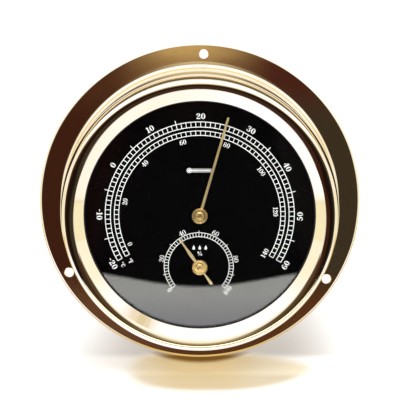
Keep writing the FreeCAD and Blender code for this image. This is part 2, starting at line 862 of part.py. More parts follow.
def hair_bundle():
    """The bundle of hair, stretched from the adjuster to the sector."""
    return Part.makeCylinder(hair_r, hair_right - hair_left, spot(hair_left, hair_out, hair_up),
                             FreeCAD.Vector(1, 0, 0))


def hair_anchor():
    """The clamp that ties the hair to the adjuster's crank."""
    return clamp(adjuster_across, crank_front, hair_out + clamp_thickness / 2)


def hair_adjuster():
    """The slotted spindle whose crank pulls the hair to set the reading."""
    place = (adjuster_across, adjuster_up)
    body = rod(spindle_r, spindle_back, crank_back, *place)
    head = rod(spindle_head_r, spindle_back - spindle_head, spindle_back, *place)
    crank = bar(place, (adjuster_across, hair_up), crank_width, crank_back, crank_front)
    slot = block(2 * spindle_head_r + overrun, spindle_slot_width,
                 spindle_back - spindle_head - overrun,
                 spindle_back - spindle_head + spindle_slot_depth, *place)
    return body.fuse([head, crank]).cut(slot)


def adjuster_bush():
    """The friction bush that the adjuster's spindle turns in."""
    return tube(adjuster_bush_r, spindle_r + running_fit, plate_back - rear_bush_nose,
                plate_front + adjuster_bush_nose, adjuster_across, adjuster_up)


def hairspring_collet():
    """The collet of the hairspring."""
    return tube(hairspring_collet_r, arbor_r + press_fit,
                hairspring_back - hairspring_collet_overhang,
                hairspring_front + hairspring_collet_overhang, 0, hygro_up)


def hygro_hairspring():
    """The fine spiral spring that keeps the hair stretched."""
    return spiral(hairspring_collet_r + press_fit, hairspring_strip, hairspring_pitch,
                  hairspring_half_turns, hairspring_back, hairspring_front, 0, hygro_up)


def hairspring_stud():
    """The post on the dial's back that holds the hairspring's outer end."""
    return rod(hairspring_stud_r, hairspring_back - hairspring_collet_overhang,
               dial_back + rivet_depth, 0, hygro_up + hairspring_stud_reach)


PARTS = {
    "wall_flange": wall_flange,
    "case_wall": case_wall,
    "bezel_ring": bezel_ring,
    "glass_gasket": glass_gasket,
    "front_glass": front_glass,
    "spacer_ring": spacer_ring,
    "dial_plate": dial_plate,
    "dial_keeper": dial_keeper,
    "case_lugs": case_lugs,
    "back_cover": back_cover,
    "back_cover_screws": back_cover_screws,
    "dial_pillars": dial_pillars,
    "thermo_bridge": thermo_bridge,
    "bridge_screws": bridge_screws,
    "thermo_front_bush": lambda: front_bush(thermo_bush_r, thermo_bush_flange_r, thermo_up),
    "thermo_rear_bush": thermo_rear_bush,
    "thermo_arbor": thermo_arbor,
    "coil_collet": coil_collet,
    "bimetal_coil": bimetal_coil,
    "coil_stud": coil_stud,
    "thermo_regulator": thermo_regulator,
    "regulator_clip": regulator_clip_ring,
    "thermo_hand": thermo_hand,
    "thermo_hand_hub": lambda: hub(thermo_hub_r, thermo_up),
    "hygro_plate": hygro_plate,
    "plate_screws": plate_screws,
    "hygro_front_bush": lambda: front_bush(hygro_bush_r, hygro_bush_flange_r, hygro_up),
    "hygro_rear_bush": hygro_rear_bush,
    "hygro_arbor": hygro_arbor,
    "hygro_pinion": hygro_pinion,
    "hygro_hairspring": hygro_hairspring,
    "hairspring_collet": hairspring_collet,
    "hairspring_stud": hairspring_stud,
    "sector_lever": sector_lever,
    "sector_counterweight": sector_counterweight,
    "sector_axle": sector_axle,
    "sector_bushes": sector_bushes,
    "hair_bundle": hair_bundle,
    "hair_clamp": hair_clamp,
    "hair_anchor": hair_anchor,
    "hair_adjuster": hair_adjuster,
    "adjuster_bush": adjuster_bush,
    "hygro_hand": hygro_hand,
    "hygro_hand_hub": lambda: hub(hygro_hub_r, hygro_up),
}


def main():
    """Builds every piece and writes one file for each."""
    os.makedirs("parts", exist_ok=True)
    for name, make in PARTS.items():
        shape = make()
        shape.exportStep("parts/" + name + ".step")
        print(name, len(shape.Solids), "solids", round(shape.Volume, 2), "mm3", shape.isValid())


main()
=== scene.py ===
"""A round brass thermo-hygrometer with a wall flange, a black dial, two hands and a flat glass.

Metres, +Z up, the dial facing -Y. The classes below hold their own sizes in millimetres: "out" is
a distance from the wall towards the reader, "across" is to the reader's right, and a clock angle
runs clockwise from the top as the reader sees it.
"""

import json
import logging
import math
from dataclasses import dataclass, field
from enum import Enum
from typing import Sequence

import bmesh
import bpy
from bmesh.types import BMesh, BMVert
from bpy.types import Material, Node, NodeSocket, NodeTree, Object
from mathutils import Matrix, Vector


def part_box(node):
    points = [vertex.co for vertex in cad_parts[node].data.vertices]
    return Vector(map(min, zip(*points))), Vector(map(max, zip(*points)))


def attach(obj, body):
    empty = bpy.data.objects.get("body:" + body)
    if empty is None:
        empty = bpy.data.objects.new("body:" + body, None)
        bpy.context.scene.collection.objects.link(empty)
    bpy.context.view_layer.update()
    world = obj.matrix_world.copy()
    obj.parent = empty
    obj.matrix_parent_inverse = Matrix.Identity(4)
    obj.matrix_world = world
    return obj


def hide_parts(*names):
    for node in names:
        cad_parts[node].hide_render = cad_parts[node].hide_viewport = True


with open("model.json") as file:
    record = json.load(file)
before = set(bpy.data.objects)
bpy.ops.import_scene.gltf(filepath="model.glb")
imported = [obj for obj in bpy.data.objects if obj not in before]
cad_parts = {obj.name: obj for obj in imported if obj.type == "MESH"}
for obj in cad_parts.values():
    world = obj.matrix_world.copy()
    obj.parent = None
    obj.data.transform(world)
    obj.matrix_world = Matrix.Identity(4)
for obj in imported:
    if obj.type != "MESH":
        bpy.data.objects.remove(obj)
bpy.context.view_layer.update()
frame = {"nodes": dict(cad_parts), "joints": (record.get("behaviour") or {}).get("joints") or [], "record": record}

MM = 0.001
HAIRBREADTH = MM / 1000
SMOOTH_LIMIT = math.radians(32.0)
LINE_OF_SIGHT = Vector((0.0, 1.0, 0.0))
Colour = tuple[float, float, float]
Pair = tuple[float, float]
Outline = Sequence[tuple[float, ...]]
log = logging.getLogger("thermo_hygrometer")


class Slot(Enum):
    """The record's material slots that new pieces take their finish from."""

    POLISHED_BRASS = "polished_brass"
    HAND_BRASS = "hand_brass"


class Body(Enum):
    """The bodies that new pieces ride on."""

    CASE = "case"
    THERMO = "thermo_pointer"
    HYGRO = "hygro_pointer"


@dataclass(frozen=True)
class Axis:
    """A line of sight through the dial, by its place across and up in millimetres."""

    across: float
    up: float

    @classmethod
    def of_joint(cls, name: str) -> "Axis":
        """The axis of one of the frame's hinges."""
        place = next(joint["pos_m"] for joint in frame["joints"] if joint["name"] == name)
        return cls(place[0] / MM, place[2] / MM)


MIDDLE = Axis(0.0, 0.0)


def spot(across: float, out: float, up: float) -> Vector:
    """A point in metres from millimetres across, out and up."""
    return Vector((across, -out, up)) * MM


def out_of(node: str, front: bool = True) -> float:
    """How far out a CAD node's front or rear face lies, in millimetres."""
    low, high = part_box(node)
    return -(low if front else high).y / MM


def on_clock(radius: float, angle: float) -> Pair:
    """The place across and up at a radius and a clock angle in degrees."""
    turn = math.radians(angle)
    return radius * math.sin(turn), radius * math.cos(turn)


def clock_turn(angle: float) -> Matrix:
    """A turn about the line of sight by a clock angle in degrees."""
    return Matrix.Rotation(math.radians(angle), 4, LINE_OF_SIGHT)


def finish_mesh(work: BMesh, name: str, material: Material, weighted: bool = True) -> Object:
    """Makes an object of a bmesh, with smooth faces between its sharp edges.

    Args:
        work: the finished bmesh, which is freed.
        name: the object's name.
        material: what every face gets.
        weighted: whether large flat faces keep their own normals.

    Returns:
        The new object, at the origin.
    """
    bmesh.ops.recalc_face_normals(work, faces=work.faces[:])
    for face in work.faces:
        face.smooth = True
    for edge in work.edges:
        edge.smooth = len(edge.link_faces) == 2 and edge.calc_face_angle() < SMOOTH_LIMIT
    mesh = bpy.data.meshes.new(name)
    work.to_mesh(mesh)
    work.free()
    mesh.materials.append(material)
    piece = bpy.data.objects.new(name, mesh)
    bpy.context.scene.collection.objects.link(piece)
    if weighted:
        normals = piece.modifiers.new("even_normals", "WEIGHTED_NORMAL")
        normals.keep_sharp = True
        normals.weight = 80
    log.info("%s: %d faces", name, len(mesh.polygons))
    return piece


@dataclass(frozen=True)
class Corner:
    """One corner of a turned outline, with the radius of its rounding and its segments."""

    radius: float
    out: float
    rounding: float = 0.0
    segments: int = 0


def round_corners(work: BMesh, verts: Sequence[BMVert], corners: Sequence[Corner]) -> None:
    """Rounds the corners of a closed loop of edges.

    Args:
        work: the bmesh that holds the loop.
        verts: the loop's corners in order.
        corners: what each corner's rounding is.
    """
    places = [vert.co.copy() for vert in verts]
    for i, corner in enumerate(corners):
        if not corner.rounding:
            continue
        before = (places[i - 1] - places[i]).normalized()
        after = (places[(i + 1) % len(places)] - places[i]).normalized()
        slide = corner.rounding * MM / math.tan(before.angle(after) / 2)
        bmesh.ops.bevel(
            work, geom=[verts[i]], offset=slide, offset_type="OFFSET",
            segments=corner.segments, profile=0.5, affect="VERTICES", material=-1)


def lathe(outline: Outline, steps: int, axis: Axis = MIDDLE) -> BMesh:
    """Turns a closed outline about a line of sight.

    Args:
        outline: the fields of its corners, in order.
        steps: the number of steps round.
        axis: the line that the outline is turned about.

    Returns:
        A bmesh of the closed turned shape.
    """
    work = bmesh.new()
    corners = [Corner(*corner) for corner in outline]
    verts = [work.verts.new(spot(corner.radius, corner.out, 0.0)) for corner in corners]
    work.faces.new(verts)
    round_corners(work, verts, corners)
    bmesh.ops.delete(work, geom=work.faces[:], context="FACES_ONLY")
    bmesh.ops.spin(
        work, geom=work.verts[:] + work.edges[:], cent=(0, 0, 0), axis=LINE_OF_SIGHT,
        angle=2 * math.pi, steps=steps, use_merge=True)
    bmesh.ops.remove_doubles(work, verts=work.verts[:], dist=HAIRBREADTH / 10)
    bmesh.ops.translate(work, verts=work.verts[:], vec=spot(axis.across, 0.0, axis.up))
    return work


def cut_away(piece: Object, cutters: Sequence[Object]) -> BMesh:
    """Cuts shapes out of a piece and removes them all.

    Args:
        piece: the object to cut.
        cutters: the objects to cut it with.

    Returns:
        A bmesh of what is left.
    """
    for cutter in cutters:
        cut = piece.modifiers.new(cutter.name, "BOOLEAN")
        cut.operation = "DIFFERENCE"
        cut.solver = "EXACT"
        cut.object = cutter
    bpy.context.view_layer.update()
    evaluated = piece.evaluated_get(bpy.context.evaluated_depsgraph_get())
    work = bmesh.new()
    work.from_mesh(evaluated.to_mesh())
    evaluated.to_mesh_clear()
    for thing in [piece, *cutters]:
        bpy.data.objects.remove(thing)
    return work


def thicken(work: BMesh, depth: float) -> None:
    """Gives flat faces a depth towards the reader, in millimetres, and keeps their backs."""
    made = bmesh.ops.extrude_face_region(work, geom=work.faces[:], use_keep_orig=True)
    raised = [item for item in made["geom"] if isinstance(item, BMVert)]
    bmesh.ops.translate(work, verts=raised, vec=spot(0.0, depth, 0.0))


def drag(rows: Sequence[Sequence[Vector]]) -> BMesh:
    """Drags a row of verts from station to station, which leaves a strip of faces.

    Args:
        rows: the places of the row's verts at each station.

    Returns:
        A bmesh of the strip.
    """
    part = bmesh.new()
    row = [part.verts.new(place) for place in rows[0]]
    lines = [part.edges.new(pair) for pair in zip(row, row[1:])]
    for places in rows[1:]:
        made = bmesh.ops.extrude_edge_only(part, edges=lines)["geom"]
        fresh = [item for item in made if isinstance(item, BMVert)]
        row = [next(vert for vert in fresh
                    if any(edge.other_vert(vert) is old for edge in vert.link_edges))
               for old in row]
        for vert, place in zip(row, places):
            vert.co = place
        lines = [part.edges.get(pair) for pair in zip(row, row[1:])]
    return part


def add_part(work: BMesh, part: BMesh) -> None:
    """Adds a part to a larger bmesh and frees it."""
    mesh = bpy.data.meshes.new("part")
    part.to_mesh(mesh)
    part.free()
    work.from_mesh(mesh)
    bpy.data.meshes.remove(mesh)


@dataclass(frozen=True)
class Value:
    """A number in a node tree, on which sums can be written."""

    graph: "Graph"
    socket: NodeSocket

    def math(self, operation: str, *others: object, clamp: bool = False) -> "Value":
        """The result of one of the math node's operations on this value and others."""
        node = self.graph.add("ShaderNodeMath", dict(enumerate([self, *others])),
                              operation=operation, use_clamp=clamp)
        return Value(self.graph, node.outputs[0])

    def __add__(self, other: object) -> "Value":
        """The sum of two values."""
        return self.math("ADD", other)

    def __sub__(self, other: object) -> "Value":
        """The difference of two values."""
        return self.math("SUBTRACT", other)

    def __mul__(self, other: object) -> "Value":
        """The product of two values."""
        return self.math("MULTIPLY", other)

    def __truediv__(self, other: object) -> "Value":
        """The quotient of two values."""
        return self.math("DIVIDE", other)

    def __pow__(self, other: object) -> "Value":
        """This value to a power."""
        return self.math("POWER", other)

    def __abs__(self) -> "Value":
        """This value without its sign."""
        return self.math("ABSOLUTE")

    def distance(self, other: "Value") -> "Value":
        """The distance that two values at a right angle make."""
        return (self * self + other * other).math("SQRT")

    def span(self, low: float, high: float, to_low: float, to_high: float) -> "Value":
        """This value moved smoothly from one range to another."""
        node = self.graph.add("ShaderNodeMapRange",
                              {0: self, 1: low, 2: high, 3: to_low, 4: to_high},
                              interpolation_type="SMOOTHSTEP")
        return Value(self.graph, node.outputs[0])

    def rise(self, low: float, high: float) -> "Value":
        """A mask that rises smoothly over a range."""
        return self.span(low, high, 0.0, 1.0)

    def fall(self, low: float, high: float) -> "Value":
        """A mask that falls smoothly over a range."""
        return self.span(low, high, 1.0, 0.0)

    def between(self, low: float, high: float) -> "Value":
        """A sharp mask of a range."""
        return self.math("GREATER_THAN", low) * self.math("LESS_THAN", high)


class Graph:
    """A node tree under construction."""

    def __init__(self, tree: NodeTree) -> None:
        """Starts on a tree, which it empties."""
        self.tree = tree
        tree.nodes.clear()

    def add(self, kind: str, sockets: dict | None = None, **settings: object) -> Node:
        """Adds a node.

        Args:
            kind: the node's type.
            sockets: what goes into its inputs, by their names or numbers: a value, a socket, a
                node whose first output is meant, a number, or a colour without its alpha.
            settings: the node's own settings.

        Returns:
            The new node.
        """
        node = self.tree.nodes.new(kind)
        for name, value in settings.items():
            setattr(node, name, value)
        for key, value in (sockets or {}).items():
            entry = node.inputs[key]
            if isinstance(value, Value):
                value = value.socket
            elif isinstance(value, Node):
                value = value.outputs[0]
            if isinstance(value, NodeSocket):
                self.tree.links.new(value, entry)
            else:
                entry.default_value = (*value, 1.0) if entry.type == "RGBA" else value
        return node

    def mix(self, share: object, first: object, second: object) -> NodeSocket:
        """A colour between two colours."""
        node = self.add("ShaderNodeMix", {0: share, 6: first, 7: second}, data_type="RGBA")
        return node.outputs[2]

    def blend(self, share: object, first: object, second: object) -> Node:
        """A shader between two shaders."""
        return self.add("ShaderNodeMixShader", {0: share, 1: first, 2: second})

    def place(self) -> NodeSocket:
        """The object coordinates."""
        return self.add("ShaderNodeTexCoord").outputs["Object"]

    def stretched(self, along: float) -> Node:
        """The object coordinates, drawn out across by a small factor."""
        return self.add("ShaderNodeMapping",
                        {"Vector": self.place(), "Scale": (along, 1.0, 1.0)})

    def place_parts(self) -> tuple[Value, Value, Value]:
        """The object coordinates' three parts: across, towards the wall and up."""
        parts = self.add("ShaderNodeSeparateXYZ", {0: self.place()}).outputs
        return Value(self, parts["X"]), Value(self, parts["Y"]), Value(self, parts["Z"])

    def noise(self, scale: object, detail: float = 2.0, roughness: float = 0.5,
              vector: object = None, distortion: float = 0.0) -> Value:
        """A noise value over a vector, or over object coordinates where it is None."""
        node = self.add("ShaderNodeTexNoise", {
            "Vector": self.place() if vector is None else vector, "Scale": scale, "Detail": detail,
            "Roughness": roughness, "Distortion": distortion})
        return Value(self, node.outputs["Fac"])

    def bump(self, height: Value, depth: float) -> NodeSocket:
        """A normal from a height, with a depth in millimetres."""
        node = self.add("ShaderNodeBump",
                        {"Height": height, "Strength": 1.0, "Distance": depth * MM})
        return node.outputs["Normal"]


def new_group(name: str, inputs: dict[str, float], output: str) -> tuple[Graph, dict[str, Value]]:
    """Starts a shader group whose inputs and output are plain values.

    Args:
        name: the group's name.
        inputs: the inputs' names and their usual values.
        output: the output's name.

    Returns:
        The group's graph, and its inputs by name.
    """
    group = bpy.data.node_groups.new(name, "ShaderNodeTree")
    kind = "NodeSocketFloat"
    for label, value in inputs.items():
        socket = group.interface.new_socket(name=label, in_out="INPUT", socket_type=kind)
        socket.default_value = value
    group.interface.new_socket(name=output, in_out="OUTPUT", socket_type=kind)
    graph = Graph(group)
    entry = graph.add("NodeGroupInput")
    return graph, {label: Value(graph, entry.outputs[label]) for label in inputs}


class Effects:
    """The shader groups that several finishes share."""

    ring_twist: float = 0.8
    ring_noise: tuple[float, float, float] = (1.0, 3.0, 0.6)
    cloud_noise: Pair = (4.0, 0.55)
    cloud_distortion: float = 0.6
    cloud_range: Pair = (0.35, 0.68)
    speck_noise: Pair = (220.0, 1.0)
    speck_limit: float = 0.58

    def __init__(self) -> None:
        """Builds each group once."""
        self.turned = self._turned()
        self.clouds = self._clouds()
        self.specks = self._specks()

    def _turned(self) -> NodeTree:
        """Fine rings about a line of sight, as a polishing wheel leaves on spun metal."""
        graph, entry = new_group("turned_marks", {"Up": 0.0, "Fineness": 1500.0}, "Rings")
        across, back, up = graph.place_parts()
        up = up - entry["Up"]
        along = graph.add("ShaderNodeCombineXYZ", {
            "X": across.distance(up) * entry["Fineness"], "Y": back * entry["Fineness"],
            "Z": across.math("ARCTAN2", up) * self.ring_twist})
        graph.add("NodeGroupOutput", {"Rings": graph.noise(*self.ring_noise, along)})
        return graph.tree

    def _clouds(self) -> NodeTree:
        """Soft patches, as handling and old lacquer leave on metal."""
        graph, entry = new_group("soft_clouds", {"Scale": 60.0}, "Mask")
        wide = graph.noise(entry["Scale"], *self.cloud_noise, distortion=self.cloud_distortion)
        graph.add("NodeGroupOutput", {"Mask": wide.rise(*self.cloud_range)})
        return graph.tree

    def _specks(self) -> NodeTree:
        """Small scattered specks, as dust and tiny pits."""
        graph, entry = new_group("specks", {"Scale": 900.0, "Size": 0.12}, "Mask")
        cells = graph.add("ShaderNodeTexVoronoi", {
            "Vector": graph.place(), "Scale": entry["Scale"], "Randomness": 1.0})
        near = Value(graph, cells.outputs["Distance"]).math("LESS_THAN", entry["Size"])
        some = graph.noise(*self.speck_noise).math("GREATER_THAN", self.speck_limit)
        graph.add("NodeGroupOutput", {"Mask": near * some})
        return graph.tree

    @staticmethod
    def use(graph: Graph, group: NodeTree, **values: float) -> Value:
        """Places a group in a material and gives back its output."""
        return Value(graph, graph.add("ShaderNodeGroup", values, node_tree=group).outputs[0])


def new_material(name: str) -> tuple[Material, Graph]:
    """Starts a material on an empty node tree."""
    material = bpy.data.materials.new(name)
    material.use_nodes = True
    return material, Graph(material.node_tree)


@dataclass(frozen=True)
class Finish:
    """The base of every finish: a name and a Principled shader to dress."""

    name: str

    def sockets(self, graph: Graph, effects: Effects) -> dict[str, object]:
        """What goes into the shader's inputs."""
        raise NotImplementedError

    def surface(self, graph: Graph, shader: Node) -> Node:
        """What the material shows: the plain shader, unless a finish says otherwise."""
        return shader

    def build(self, effects: Effects) -> Material:
        """Builds the material from the shared effects."""
        material, graph = new_material(self.name)
        shader = graph.add("ShaderNodeBsdfPrincipled", self.sockets(graph, effects))
        graph.add("ShaderNodeOutputMaterial", {"Surface": self.surface(graph, shader)})
        return material


@dataclass(frozen=True)
class Metal(Finish):
    """Metal with turned rings or straight grain, tarnish clouds, specks and painted groove shade."""

    bright: Colour
    tarnish: Colour
    tarnish_share: float
    smoothest: float
    roughest: float
    rings: float = 1500.0
    ring_depth: float = 0.0
    grain: float = 0.0
    grain_depth: float = 0.0
    grain_stretch: float = 0.03
    grain_noise: Pair = (4.0, 0.7)
    worn_range: Pair = (0.2, 0.8)
    relief_share: float = 0.5
    cloud_scale: float = 60.0
    speck_scale: float = 700.0
    speck_size: float = 0.1
    speck_share: float = 0.25
    axis_up: float = 0.0
    groove_share: float = 0.0
    # the groove fields paint shade dark into the recess behind the bead
    groove_radii: Pair = (51.0, 51.6)
    groove_out: Pair = (22.9, 28.2)
    groove_colour: Colour = (0.1, 0.09, 0.05)

    def _in_groove(self, graph: Graph) -> Value:
        """A mask of the groove behind the bead, where shade is painted: two radii, two planes."""
        across, back, up = graph.place_parts()
        ring = across.distance(up).between(*(radius * MM for radius in self.groove_radii))
        return ring * (back * (-1 / MM)).between(*self.groove_out) * self.groove_share

    def sockets(self, graph: Graph, effects: Effects) -> dict[str, object]:
        """The metal's colour and roughness, and its rings or grain as a relief."""
        clouds = effects.use(graph, effects.clouds, Scale=self.cloud_scale)
        specks = effects.use(graph, effects.specks, Scale=self.speck_scale, Size=self.speck_size)
        if self.grain:
            height = graph.noise(self.grain, *self.grain_noise,
                                 graph.stretched(self.grain_stretch))
        else:
            height = effects.use(graph, effects.turned, Up=self.axis_up * MM, Fineness=self.rings)
        aged = (clouds * self.tarnish_share).math("ADD", specks * self.speck_share, clamp=True)
        colour = graph.mix(aged, self.bright, self.tarnish)
        # painted shade: the groove behind the bead is darkened in the colour
        if self.groove_share:
            colour = graph.mix(self._in_groove(graph), colour, self.groove_colour)
        worn = height * self.relief_share + clouds * (1 - self.relief_share)
        sockets = {"Metallic": 1.0, "IOR": 1.5, "Base Color": colour,
                   "Roughness": worn.span(*self.worn_range, self.smoothest, self.roughest)}
        depth = self.grain_depth if self.grain else self.ring_depth
        if depth:
            sockets["Normal"] = graph.bump(height, depth)
        return sockets


@dataclass(frozen=True)
class Paint(Finish):
    """Enamel, print, rubber and other coats that aren't metal."""

    colour: Colour
    shade: Colour
    roughness: float
    specular: float
    texture_scale: float
    texture_depth: float
    clouds_per_texture: float = 1 / 12
    texture_detail: float = 3.0
    texture_range: Pair = (0.3, 0.7)
    roughness_spread: float = 0.1

    def sockets(self, graph: Graph, effects: Effects) -> dict[str, object]:
        """The coat's colour, roughness and fine texture."""
        cloud_scale = self.texture_scale * self.clouds_per_texture
        clouds = effects.use(graph, effects.clouds, Scale=cloud_scale)
        fine = graph.noise(self.texture_scale, self.texture_detail)
        spread = self.roughness * self.roughness_spread
        return {"Metallic": 0.0, "Specular IOR Level": self.specular,
                "Base Color": graph.mix(clouds, self.colour, self.shade),
                "Roughness": fine.span(*self.texture_range, self.roughness - spread,
                                       self.roughness + spread),
                "Normal": graph.bump(fine, self.texture_depth)}


@dataclass(frozen=True)
class Glass(Finish):
    """Clear flat glass that lets light through to the dial."""

    tint: Colour = (0.985, 0.995, 0.99)
    smear_scale: float = 45.0
    roughest: float = 0.012

    def sockets(self, graph: Graph, effects: Effects) -> dict[str, object]:
        """The glass, with faint smears."""
        smears = effects.use(graph, effects.clouds, Scale=self.smear_scale)
        return {"Base Color": self.tint, "Metallic": 0.0, "IOR": 1.5, "Transmission Weight": 1.0,
                "Roughness": smears.span(0.0, 1.0, 0.0, self.roughest)}

    def surface(self, graph: Graph, shader: Node) -> Node:
        """Glass that casts no shadow of its own."""
        path = graph.add("ShaderNodeLightPath").outputs
        passing = Value(graph, path["Is Shadow Ray"]).math("MAXIMUM", path["Is Diffuse Ray"])
        clear = graph.add("ShaderNodeBsdfTransparent", {"Color": self.tint})
        return graph.blend(passing, shader, clear)


@dataclass(frozen=True)
class Bimetal(Finish):
    """Strip of two metals with heat colours along it."""

    pale: Colour = (0.62, 0.56, 0.46)
    blued: Colour = (0.3, 0.3, 0.36)
    cloud_scale: float = 140.0
    mark_scale: float = 2600.0
    mark_range: Pair = (0.2, 0.8)
    mark_depth: float = 0.003
    roughness: Pair = (0.25, 0.42)

    def sockets(self, graph: Graph, effects: Effects) -> dict[str, object]:
        """The strip's two colours, roughness and rolling marks."""
        clouds = effects.use(graph, effects.clouds, Scale=self.cloud_scale)
        marks = effects.use(graph, effects.turned, Up=0.0, Fineness=self.mark_scale)
        return {"Metallic": 1.0, "Base Color": graph.mix(clouds, self.pale, self.blued),
                "Roughness": marks.span(*self.mark_range, *self.roughness),
                "Normal": graph.bump(marks, self.mark_depth)}


@dataclass(frozen=True)
class Hair(Finish):
    """A bundle of degreased hair, with strands along it."""

    light: Colour = (0.5, 0.36, 0.2)
    dark: Colour = (0.16, 0.09, 0.045)
    specular: float = 0.6
    strand_scale: float = 14000.0
    strand_stretch: float = 0.02
    strand_depth: float = 0.02
    split_range: Pair = (0.35, 0.65)
    strand_range: Pair = (0.3, 0.7)
    roughness: Pair = (0.35, 0.55)

    def sockets(self, graph: Graph, effects: Effects) -> dict[str, object]:
        """The strands' colours, roughness and relief."""
        along = graph.stretched(self.strand_stretch)
        strands = graph.noise(self.strand_scale, vector=along)
        split = strands.rise(*self.split_range)
        return {"Metallic": 0.0, "Specular IOR Level": self.specular,
                "Base Color": graph.mix(split, self.light, self.dark),
                "Roughness": strands.span(*self.strand_range, *self.roughness),
                "Normal": graph.bump(split, self.strand_depth)}


class Finishes:
    """Every finish of the instrument, and which CAD nodes wear it."""

    arbors = ("thermo_arbor", "hygro_arbor")

    def __init__(self, thermo: Axis) -> None:
        """Builds the materials once, each under its slot's name in the record if it has one."""
        effects = Effects()
        finishes = (
            # polished brass carries painted shade in the groove behind the bead
            Metal("polished_brass", (0.93, 0.8, 0.47), (0.85, 0.68, 0.34), 0.25, 0.035, 0.075,
                  cloud_scale=38.0, groove_share=0.8),
            Metal("plain_brass", (0.74, 0.56, 0.27), (0.5, 0.34, 0.15), 0.6, 0.22, 0.36,
                  rings=2400.0, ring_depth=0.004),
            Metal("hand_brass", (0.79, 0.62, 0.27), (0.73, 0.55, 0.21), 0.4, 0.36, 0.44,
                  cloud_scale=160.0),
            Metal("hub_brass", (0.84, 0.61, 0.22), (0.78, 0.52, 0.15), 0.4, 0.23, 0.29,
                  rings=5200.0, ring_depth=0.00015, cloud_scale=200.0, axis_up=thermo.up),
            Metal("arbor_steel", (0.6, 0.42, 0.18), (0.45, 0.3, 0.12), 0.5, 0.3, 0.4,
                  rings=4200.0, ring_depth=0.001),
            Metal("cover_brass", (0.7, 0.53, 0.28), (0.42, 0.28, 0.14), 0.55, 0.24, 0.42,
                  rings=1400.0, ring_depth=0.012, cloud_scale=45.0),
            Metal("screw_steel", (0.68, 0.68, 0.67), (0.4, 0.38, 0.35), 0.5, 0.16, 0.3,
                  grain=2600.0, grain_depth=0.004),
            Bimetal("spring_steel"),
            Paint("black_dial", (0.0008, 0.0008, 0.0009), (0.0011, 0.0011, 0.0012), 0.5, 0.012,
                  1400.0, 0.003),
            Paint("black_rubber", (0.012, 0.012, 0.012), (0.02, 0.02, 0.019), 0.7, 0.3,
                  1800.0, 0.02),
            Paint("black_spacer", (0.006, 0.006, 0.006), (0.01, 0.01, 0.01), 0.6, 0.2,
                  1200.0, 0.01),
            Paint("dial_print", (0.95, 0.95, 0.94), (0.9, 0.9, 0.88), 0.5, 0.3, 2600.0, 0.004),
            Glass("window_glass"),
            Hair("hair"),
        )
        self.made = {finish.name: finish.build(effects) for finish in finishes}

    def __getitem__(self, name: str) -> Material:
        """The material of a finish."""
        return self.made[name]

    def dress_nodes(self) -> None:
        """Gives each CAD node the finish of its slot in the record."""
        for part in frame["record"]["subparts"]:
            name, slot = part["node"], part["material_slot"]
            materials = frame["nodes"][name].data.materials
            materials.clear()
            materials.append(self["arbor_steel" if name in self.arbors else slot])
            log.info("%s wears %s", name, slot)


